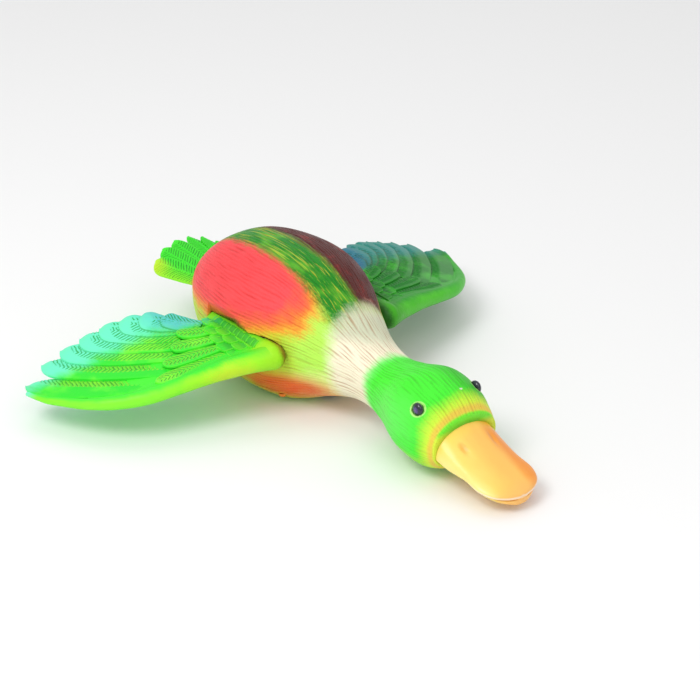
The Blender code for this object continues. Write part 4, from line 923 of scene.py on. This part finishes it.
def wing_arm(bm):
    """The plate of the wing between its rolled front edge and the flight feathers."""
    rows = smooth_rows(LEADING_ROLL[:8], 8)
    grid = bmesh.ops.create_grid(bm, x_segments=len(rows) - 1, y_segments=36, size=1)
    top = grid["verts"]
    faces = list({face for vert in top for face in vert.link_faces})
    grown = bmesh.ops.extrude_face_region(bm, geom=faces)
    under = [item for item in grown["geom"] if isinstance(item, bmesh.types.BMVert)]
    for verts, sign in ((top, 1), (under, -1)):
        for vert in verts:
            t, f = (vert.co.x + 1) / 2, (vert.co.y + 1) / 2
            x, y, radius = rows[round(t * (len(rows) - 1))]
            x = max(x, PLATE_ROOT_X)
            rear_x, rear_y = arm_rear(t, x)
            a, b = x + (rear_x - x) * f, y + (rear_y - y) * f
            vert.co = place(a, b, wing_height(a, b) + sign * arm_thickness(radius, f))


def rolled_edge(bm):
    """Tapering roll along the front of the wing, with a round nose at each end."""
    behind = bm.verts.layers.float.get("behind") or bm.verts.layers.float.new("behind")
    rows = []
    for x, y, radius in smooth_rows(LEADING_ROLL, 8):
        rows.append(Vector((x, y, wing_height(x, y), radius * (1 - 0.06 * ease(70, 120, x)))))
    path = []
    for i, row in enumerate(rows):
        before, after = rows[max(i - 1, 0)], rows[min(i + 1, len(rows) - 1)]
        run = (after - before).to_3d().normalized()
        path.append((row.to_3d(), run, row[3]))
    noses = []
    for (centre, run, radius), way in ((path[0], -1), (path[-1], 1)):
        noses.append([(centre + run * way * radius * 0.8 * math.sin(a), run, radius * math.cos(a))
                      for a in (0.35, 0.7, 1.05, 1.35)])
    path = noses[0][::-1] + path + noses[1]

    def at(ring, angle):
        centre, run, radius = path[ring]
        across = Vector((run.y, -run.x, 0)).normalized()
        up = run.cross(across)
        if up.z < 0:
            up = -up
        lift = 0.25 * noise.noise(centre * 0.06) * radius * 0.3
        out = centre + across * (radius + lift) * math.cos(angle) + up * radius * math.sin(angle)
        return place(*out)

    start, end = path[0], path[-1]
    first = place(*(start[0] - start[1] * 0.5))
    last = place(*(end[0] + end[1] * 0.2))
    roll = wrapped(ROLL_SIDES, len(path), at, first, last)
    before = set(bm.verts)
    add_to(bm, roll)
    for vert in bm.verts:
        if vert not in before:
            x, y, _ = spot_of(vert.co)
            lead = min(path, key=lambda p: (p[0].x - x) ** 2 + (p[0].y - y) ** 2)
            across = Vector((-lead[1].y, lead[1].x))
            vert[behind] = (x - lead[0].x) * across.x / lead[2] + (y - lead[0].y) * across.y / lead[2]


def shoulder_barrel():
    """Turned shoulder of the wing, cut out for the frame ears, the toothed sector and the bushes."""
    nose = [(BARREL_FRONT_Y - BARREL_RADIUS * math.cos(a), BARREL_RADIUS * math.sin(a))
            for a in [math.radians(d) for d in (8, 18, 28, 38, 48, 58, 68, 79)]]
    straight = [(BARREL_FRONT_Y + (BARREL_REAR_Y - BARREL_FRONT_Y) * k / BARREL_STEPS, BARREL_RADIUS)
                for k in range(BARREL_STEPS + 1)]
    profile = nose + straight + [(BARREL_REAR_Y, BARREL_RADIUS * 0.6)]

    def at(ring, angle):
        y, radius = profile[ring]
        knobble = 1 - 0.03 * (0.5 + noise.noise(Vector((angle * 2, y * 0.12, 3))))
        return place(HINGE_X + radius * knobble * math.cos(angle), y,
                     HINGE_Z + radius * knobble * math.sin(angle))

    form = wrapped(BARREL_SIDES, len(profile), at, place(HINGE_X, BARREL_FRONT_Y - BARREL_RADIUS, HINGE_Z),
                   place(HINGE_X, BARREL_REAR_Y, HINGE_Z))
    tools = []
    for front, rear in ((-15.2, 1.2), (32.8, 37.7)):
        tools.append(rod((HINGE_X, front, HINGE_Z), (HINGE_X, rear, HINGE_Z), EAR_ROOM_RADIUS))
        tools.append(block((HINGE_X - 14, front, HINGE_Z - 8.2), (HINGE_X - 1.2, rear, HINGE_Z + 12)))
    tools.append(rod((HINGE_X, -18, HINGE_Z), (HINGE_X, 48, HINGE_Z), PIN_ROOM_RADIUS, 24))
    tools.append(rod((HINGE_X, 0.2, HINGE_Z), (HINGE_X, 7.6, HINGE_Z), BUSH_ROOM_RADIUS, 24))
    tools.append(rod((HINGE_X, 33.8, HINGE_Z), (HINGE_X, 26.4, HINGE_Z), BUSH_ROOM_RADIUS, 24))
    tools.append(block((HINGE_X + 4, -9.9, HINGE_Z - 2), (HINGE_X + 14, -4.1, HINGE_Z + 2)))
    return carve(form, "DIFFERENCE", *tools)


def add_to(bm, other):
    """Joins a second bmesh into the first and frees it."""
    mesh = bpy.data.meshes.new("part")
    other.to_mesh(mesh)
    other.free()
    bm.from_mesh(mesh)
    bpy.data.meshes.remove(mesh)


def arm_top(x, y):
    """Top of the plate, or of the shoulder where that is higher."""
    plate = wing_height(x, y) + 3.2
    reach = BARREL_RADIUS ** 2 - (x - HINGE_X) ** 2
    if reach <= 0:
        return plate
    return max(plate, HINGE_Z + math.sqrt(reach))


def covert_height(x, y, s):
    """Middle of a greater covert, at any share s of its length."""
    return wing_height(x, y) + COVERT_RISE + 0.5


def flight_height(x, y, s):
    """Middle of a flight feather, at any share s of its length."""
    return wing_height(x, y)


def scallop_height(x, y, s):
    """Middle of a scallop: over the plate of the wing, and capped near the hinge."""
    base = (arm_top(x, y) + arm_top(x + 3, y) + arm_top(x - 3, y)) / 3 - 0.2 + 1.7 * s
    clear = SHOULDER_CLEAR ** 2 - (x - HINGE_X) ** 2
    if x < SHOULDER_EDGE_X and clear > 0:
        base = min(base, HINGE_Z + math.sqrt(clear) - 1.5)
    return base


def wing_pieces(side, label, far_shaded):
    """Builds the three pieces of one wing; the right wing is the mirrored left one."""
    plumage = wing_paint(f"{label}_wing_paint", far_shaded)
    leading = roll_paint(f"{label}_roll_paint", far_shaded)
    body = f"{label}_wing_body"

    flights = bmesh.new()
    over = None
    for root_x, root_y, tip_x, tip_y in FLIGHT_FEATHERS:
        feather(flights, (root_x, root_y), (tip_x, tip_y), FEATHER_WIDTH, FEATHER_THICK, flight_height,
                tilt=1.2, bend=3.5, along=150, across=24, pitch=3.3, cut_depth=0.9, over=over)
        over = (root_x, root_y, tip_x, tip_y)

    coverts = bmesh.new()
    for root_x, root_y, tip_x, tip_y in GREATER_COVERTS:
        feather(coverts, (root_x, root_y), (tip_x, tip_y), COVERT_WIDTH, COVERT_THICK, covert_height,
                tilt=0.7, bend=1.5, along=96, across=18, pitch=3.0, band=(-0.9, 0.5), cut_depth=0.6,
                rim_rise=0.15)
    for x, y in SCALLOPS:
        swing = 0.12 * noise.noise(Vector((x, y, 2)))
        root_x = max(x - 15, SCALLOP_ROOT_X)
        feather(coverts, (root_x, y - 15 * swing - 1), (x, y), SCALLOP_WIDTH, SCALLOP_THICK, scallop_height,
                tilt=0.3, narrow=0.85, along=26, across=14, pitch=1.9, band=(2, 3), cut_depth=0.0,
                rim_rise=0.6, crown=0.6, shaded_root=0.8)

    arm = bmesh.new()
    arm.verts.layers.float.new("behind")
    rolled_edge(arm)
    wing_arm(arm)
    add_to(arm, shoulder_barrel())
    layer = arm.verts.layers.float["behind"]
    for vert in arm.verts:
        x, y, _ = spot_of(vert.co)
        if vert[layer] == 0.0:
            vert[layer] = 1.0 if x > 66 else ease(-24, -4, y) * 2 - 1

    for bm, name, finish, replaces in ((flights, "flight_feathers", plumage, ()),
                                       (coverts, "coverts", plumage, ()),
                                       (arm, "wing_arm", leading, (f"{label}_wing",))):
        if side < 0:
            bmesh.ops.scale(bm, vec=(-1, 1, 1), verts=bm.verts[:])
        piece_from(bm, f"{label}_{name}", finish, body, replaces)


# ---------------------------------------------------------------- tail, bill and eyes

def tail_height(x, y, s=0.0):
    """Middle of a tail feather, at any share s of its length."""
    along = (y - TAIL_ROOT_Y) / (158 - TAIL_ROOT_Y)
    return 52 + 8 * along - 0.0085 * x * x * (0.4 + 0.6 * along)


def painted_tail():
    """Six overlapping feathers on a tongue that sits in the rump."""
    bm = bmesh.new()
    for root_x, tip_x, tip_y in reversed(TAIL_FEATHERS):
        for side in (-1, 1):
            feather(bm, (side * root_x, TAIL_ROOT_Y), (side * tip_x, tip_y), 15.5, 3.5, tail_height,
                    tilt=-side * 0.9, bend=side * 1.5, along=110, across=18, pitch=2.8, band=(-1.2, 1.2),
                    cut_depth=0.8)
    root = block((-14.8, 74.2, 48.8), (14.8, 95.8, 54.3))
    bmesh.ops.bevel(root, geom=root.edges[:], offset=0.8 * MM, segments=3, profile=0.5, affect="EDGES",
                    material=-1)
    add_to(bm, root)
    return piece_from(bm, "painted_tail", tail_paint(), "root", ("tail_fan",))


def dent(x, y, centre_x, centre_y, reach_x, reach_y):
    """Round bump of height 1, to raise or sink a surface."""
    return math.exp(-((x - centre_x) / reach_x) ** 2 - ((y - centre_y) / reach_y) ** 2)


def painted_upper_bill():
    """Upper bill with nostrils, brow, saddle and nail."""
    rows = smooth_rows(BILL_SECTIONS, 14)

    def at(ring, angle):
        y, half_width, ridge, edge = rows[ring]
        x = half_width * math.cos(angle)
        if math.sin(angle) >= 0:
            z = edge + (ridge - edge) * math.sin(angle) ** 0.9
            saddle = dent(abs(x), y, 17, -205, 7, 14)
            nostril = dent(abs(x), y, 13.5 + (y + 188) * 0.12, -190, 1.7, 5.5)
            brow = dent(abs(x), y, 9.8, -188, 2.6, 8)
            nail = dent(x, y, 0, -229, 7, 5)
            z += 0.5 * brow + 0.35 * nail - 1.3 * nostril - 0.5 * saddle
        else:
            z = edge - BILL_LIP * abs(math.sin(angle)) ** 0.35
            x *= 1 - 0.06 * abs(math.sin(angle))
        return place(x, y, z)

    first = place(0, rows[0][0], (rows[0][2] + rows[0][3]) / 2)
    last = place(0, rows[-1][0] + 0.05, rows[-1][3])
    bm = wrapped(112, len(rows), at, first, last)
    lip = bm.verts.layers.float.new("lip")
    for vert in bm.verts:
        x, y, z = spot_of(vert.co)
        edge = interpolate([(-r[0], r[3]) for r in rows], -y)[0]
        vert[lip] = ease(1.2, 0.2, abs(z - edge + 0.3)) * ease(-200, -226, y)
    return piece_from(bm, "painted_upper_bill", bill_paint("bill_paint"), "root",
                      ("upper_bill",), sharp=60)


def painted_lower_bill():
    """Shallow lower bill under the lip of the upper one."""
    rows = [row for row in smooth_rows(BILL_SECTIONS, 14) if row[0] > -234]

    def at(ring, angle):
        y, half_width, _, edge = rows[ring]
        top = edge - BILL_LIP - BILL_GAP
        x = half_width * 0.86 * power(math.cos(angle), 3.2)
        if math.sin(angle) >= 0:
            z = top - 0.4 * (1 - abs(math.sin(angle)) ** 0.4)
        else:
            z = top - 0.4 - 4.0 * abs(math.sin(angle)) ** 0.8
        return place(x, y, z)

    first = place(0, rows[0][0], rows[0][3] - 4)
    last = place(0, rows[-1][0] - 0.4, rows[-1][3] - 4)
    bm = wrapped(96, len(rows), at, first, last)
    return piece_from(bm, "painted_lower_bill", bill_paint("lower_bill_paint", lower=True), "root",
                      ("lower_bill",), sharp=60)


def painted_eye(side, label, finish):
    """Flattened bead set in the side of the head."""
    bm = bmesh.new()
    bmesh.ops.create_uvsphere(bm, u_segments=48, v_segments=32, radius=EYE_RADIUS * MM)
    bmesh.ops.rotate(bm, cent=(0, 0, 0), matrix=Matrix.Rotation(math.pi / 2, 3, "Y"), verts=bm.verts[:])
    bmesh.ops.scale(bm, vec=(0.58, 1, 1), verts=bm.verts[:])
    x, y, z = EYE_CENTRE
    bmesh.ops.translate(bm, vec=place(side * x, y, z), verts=bm.verts[:])
    return piece_from(bm, f"painted_{label}_eye", finish, "root", (f"{label}_eye",))


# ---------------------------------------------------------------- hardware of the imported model

def fit_out(finish, *names):
    """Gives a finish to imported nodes, by whole name or by the start or end of a name."""
    for name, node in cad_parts.items():
        if any(name == wanted or name.startswith(wanted + "_") or name.endswith("_" + wanted)
               for wanted in names):
            for slot in node.material_slots:
                slot.material = finish


def finish_hardware():
    """Finishes of the drive, the fasteners, the cells and the door."""
    steel = moulded("drawn_steel", (0.60, 0.60, 0.61), (0.50, 0.50, 0.52), 0.30, 1.0, (0.4, 2.0, 0.4), 0.02)
    fit_out(steel, "hinge_pin", "door_pin", "idler_pin", "output_shaft", "front_contact", "rear_contact",
            "stake_sleeve")
    fit_out(moulded("zinc_screws", (0.55, 0.56, 0.58), (0.42, 0.43, 0.46), 0.34, 1.0, (1.2, 1.2, 1.2), 0.03),
            "frame_screw", "plate_screw", "motor_screw")
    fit_out(moulded("motor_case", (0.50, 0.50, 0.50), (0.34, 0.34, 0.35), 0.42, 1.0, (0.7, 0.2, 0.7), 0.04),
            "motor_can")
    bronze = moulded("sintered_bronze", (0.50, 0.31, 0.12), (0.36, 0.20, 0.07), 0.42, 1.0,
                     (2.2, 2.2, 2.2), 0.06)
    fit_out(bronze, "front_bush", "rear_bush")
    nylon = moulded("frame_moulding", (0.045, 0.046, 0.05), (0.07, 0.07, 0.072), 0.52, 0.0,
                    (1.6, 1.6, 1.6), 0.08)
    fit_out(nylon, "drive_frame", "front_plate", "gearbox", "switch_body")
    fit_out(moulded("gear_acetal", (0.80, 0.79, 0.72), (0.88, 0.87, 0.82), 0.38, 0.0, (1.0, 1.0, 1.0), 0.04),
            "sector_gear", "drive_gear", "idler_gear", "switch_knob")
    lacquer = moulded("board_lacquer", (0.015, 0.16, 0.06), (0.03, 0.26, 0.10), 0.34, 0.0,
                      (0.9, 0.9, 0.9), 0.05, 0.3)
    fit_out(lacquer, "control_board")
    fit_out(moulded("red_lead", (0.55, 0.015, 0.015), (0.42, 0.01, 0.01), 0.45, 0.0, (0.8, 0.8, 0.8), 0.03),
            "lead_red")
    black = moulded("black_lead", (0.015, 0.015, 0.016), (0.03, 0.03, 0.03), 0.45, 0.0,
                    (0.8, 0.8, 0.8), 0.03)
    fit_out(black, "lead_black")
    wrap = Finish("cell_wrap", (0.03, 0.10, 0.32), roughness=0.32, coat=0.3)
    wrap.spray(wrap.fade(wrap.rough_edge(wrap.y, drift=0.8), 26.0, 26.6), (0.72, 0.72, 0.70))
    wrap.spray(wrap.fade(wrap.y, 36.2, 36.6), (0.55, 0.55, 0.56))
    wrap.raise_by(wrap.cloud((0.3, 0.3, 0.3), detail=2.0), 0.1)
    fit_out(wrap.done(wear=0.1), "battery_cell")
    fit_out(moulded("door_paint", (0.80, 0.30, 0.04), (0.86, 0.13, 0.02), 0.45, 0.0, (1.4, 1.4, 1.4), 0.10),
            "battery_door", "pan_screw")


# ---------------------------------------------------------------- studio

def lamp(name, azimuth, elevation, distance, width, watts):
    """Round soft light aimed at the bird."""
    light = bpy.data.lights.new(name, "AREA")
    light.shape = "DISK"
    light.size = width
    light.energy = watts
    obj = bpy.data.objects.new(name, light)
    a, e = math.radians(azimuth), math.radians(elevation)
    back = Vector((math.sin(a) * math.cos(e), -math.cos(a) * math.cos(e), math.sin(e)))
    obj.location = place(0, 0, 50) + back * distance
    obj.rotation_mode = "QUATERNION"
    obj.rotation_quaternion = (-back).to_track_quat("-Z", "Y")
    bpy.context.scene.collection.objects.link(obj)


def studio():
    """Pale floor, soft lights and the camera."""
    bm = bmesh.new()
    bmesh.ops.create_circle(bm, cap_ends=True, segments=96, radius=6.0)
    bmesh.ops.translate(bm, vec=(0, 0, -0.0004), verts=bm.verts[:])
    mesh = bpy.data.meshes.new("floor")
    bm.to_mesh(mesh)
    bm.free()
    floor = bpy.data.objects.new("floor", mesh)
    bpy.context.scene.collection.objects.link(floor)
    paper = bpy.data.materials.new("floor_paper")
    paper.use_nodes = True
    paper.node_tree.nodes["Principled BSDF"].inputs["Base Color"].default_value = (0.90, 0.90, 0.90, 1)
    paper.node_tree.nodes["Principled BSDF"].inputs["Roughness"].default_value = 0.9
    mesh.materials.append(paper)

    world = bpy.data.worlds.new("studio")
    world.use_nodes = True
    world.node_tree.nodes["Background"].inputs[0].default_value = (1.0, 1.0, 1.0, 1)
    world.node_tree.nodes["Background"].inputs[1].default_value = 0.72
    bpy.context.scene.world = world
    lamp("key", -78, 50, 1.7, 0.8, 11)
    lamp("front", -25, 42, 2.0, 1.2, 4.5)
    lamp("top", 160, 72, 2.0, 1.2, 3)

    target = place(0, 0, 59)
    a, e = math.radians(-38), math.radians(26)
    back = Vector((math.sin(a) * math.cos(e), -math.cos(a) * math.cos(e), math.sin(e)))
    camera = bpy.data.cameras.new("camera")
    camera.sensor_width = 36.0
    camera.lens = 111.2
    camera.shift_x = 0.06
    camera.shift_y = -0.054
    camera.clip_end = 100
    rig = bpy.data.objects.new("camera", camera)
    rig.location = target + back * 1.6
    rig.rotation_mode = "QUATERNION"
    rig.rotation_quaternion = (-back).to_track_quat("-Z", "Y")
    bpy.context.scene.collection.objects.link(rig)
    bpy.context.scene.camera = rig
    bpy.context.scene.view_settings.view_transform = "Standard"


painted = painted_body()
painted_belly(painted.data.materials[0])
# the left wing is the far one and is painted in shade
wing_pieces(1, "left", True)
wing_pieces(-1, "right", False)
painted_tail()
painted_upper_bill()
painted_lower_bill()
gloss = eye_gloss()
painted_eye(1, "left", gloss)
painted_eye(-1, "right", gloss)
finish_hardware()
studio()
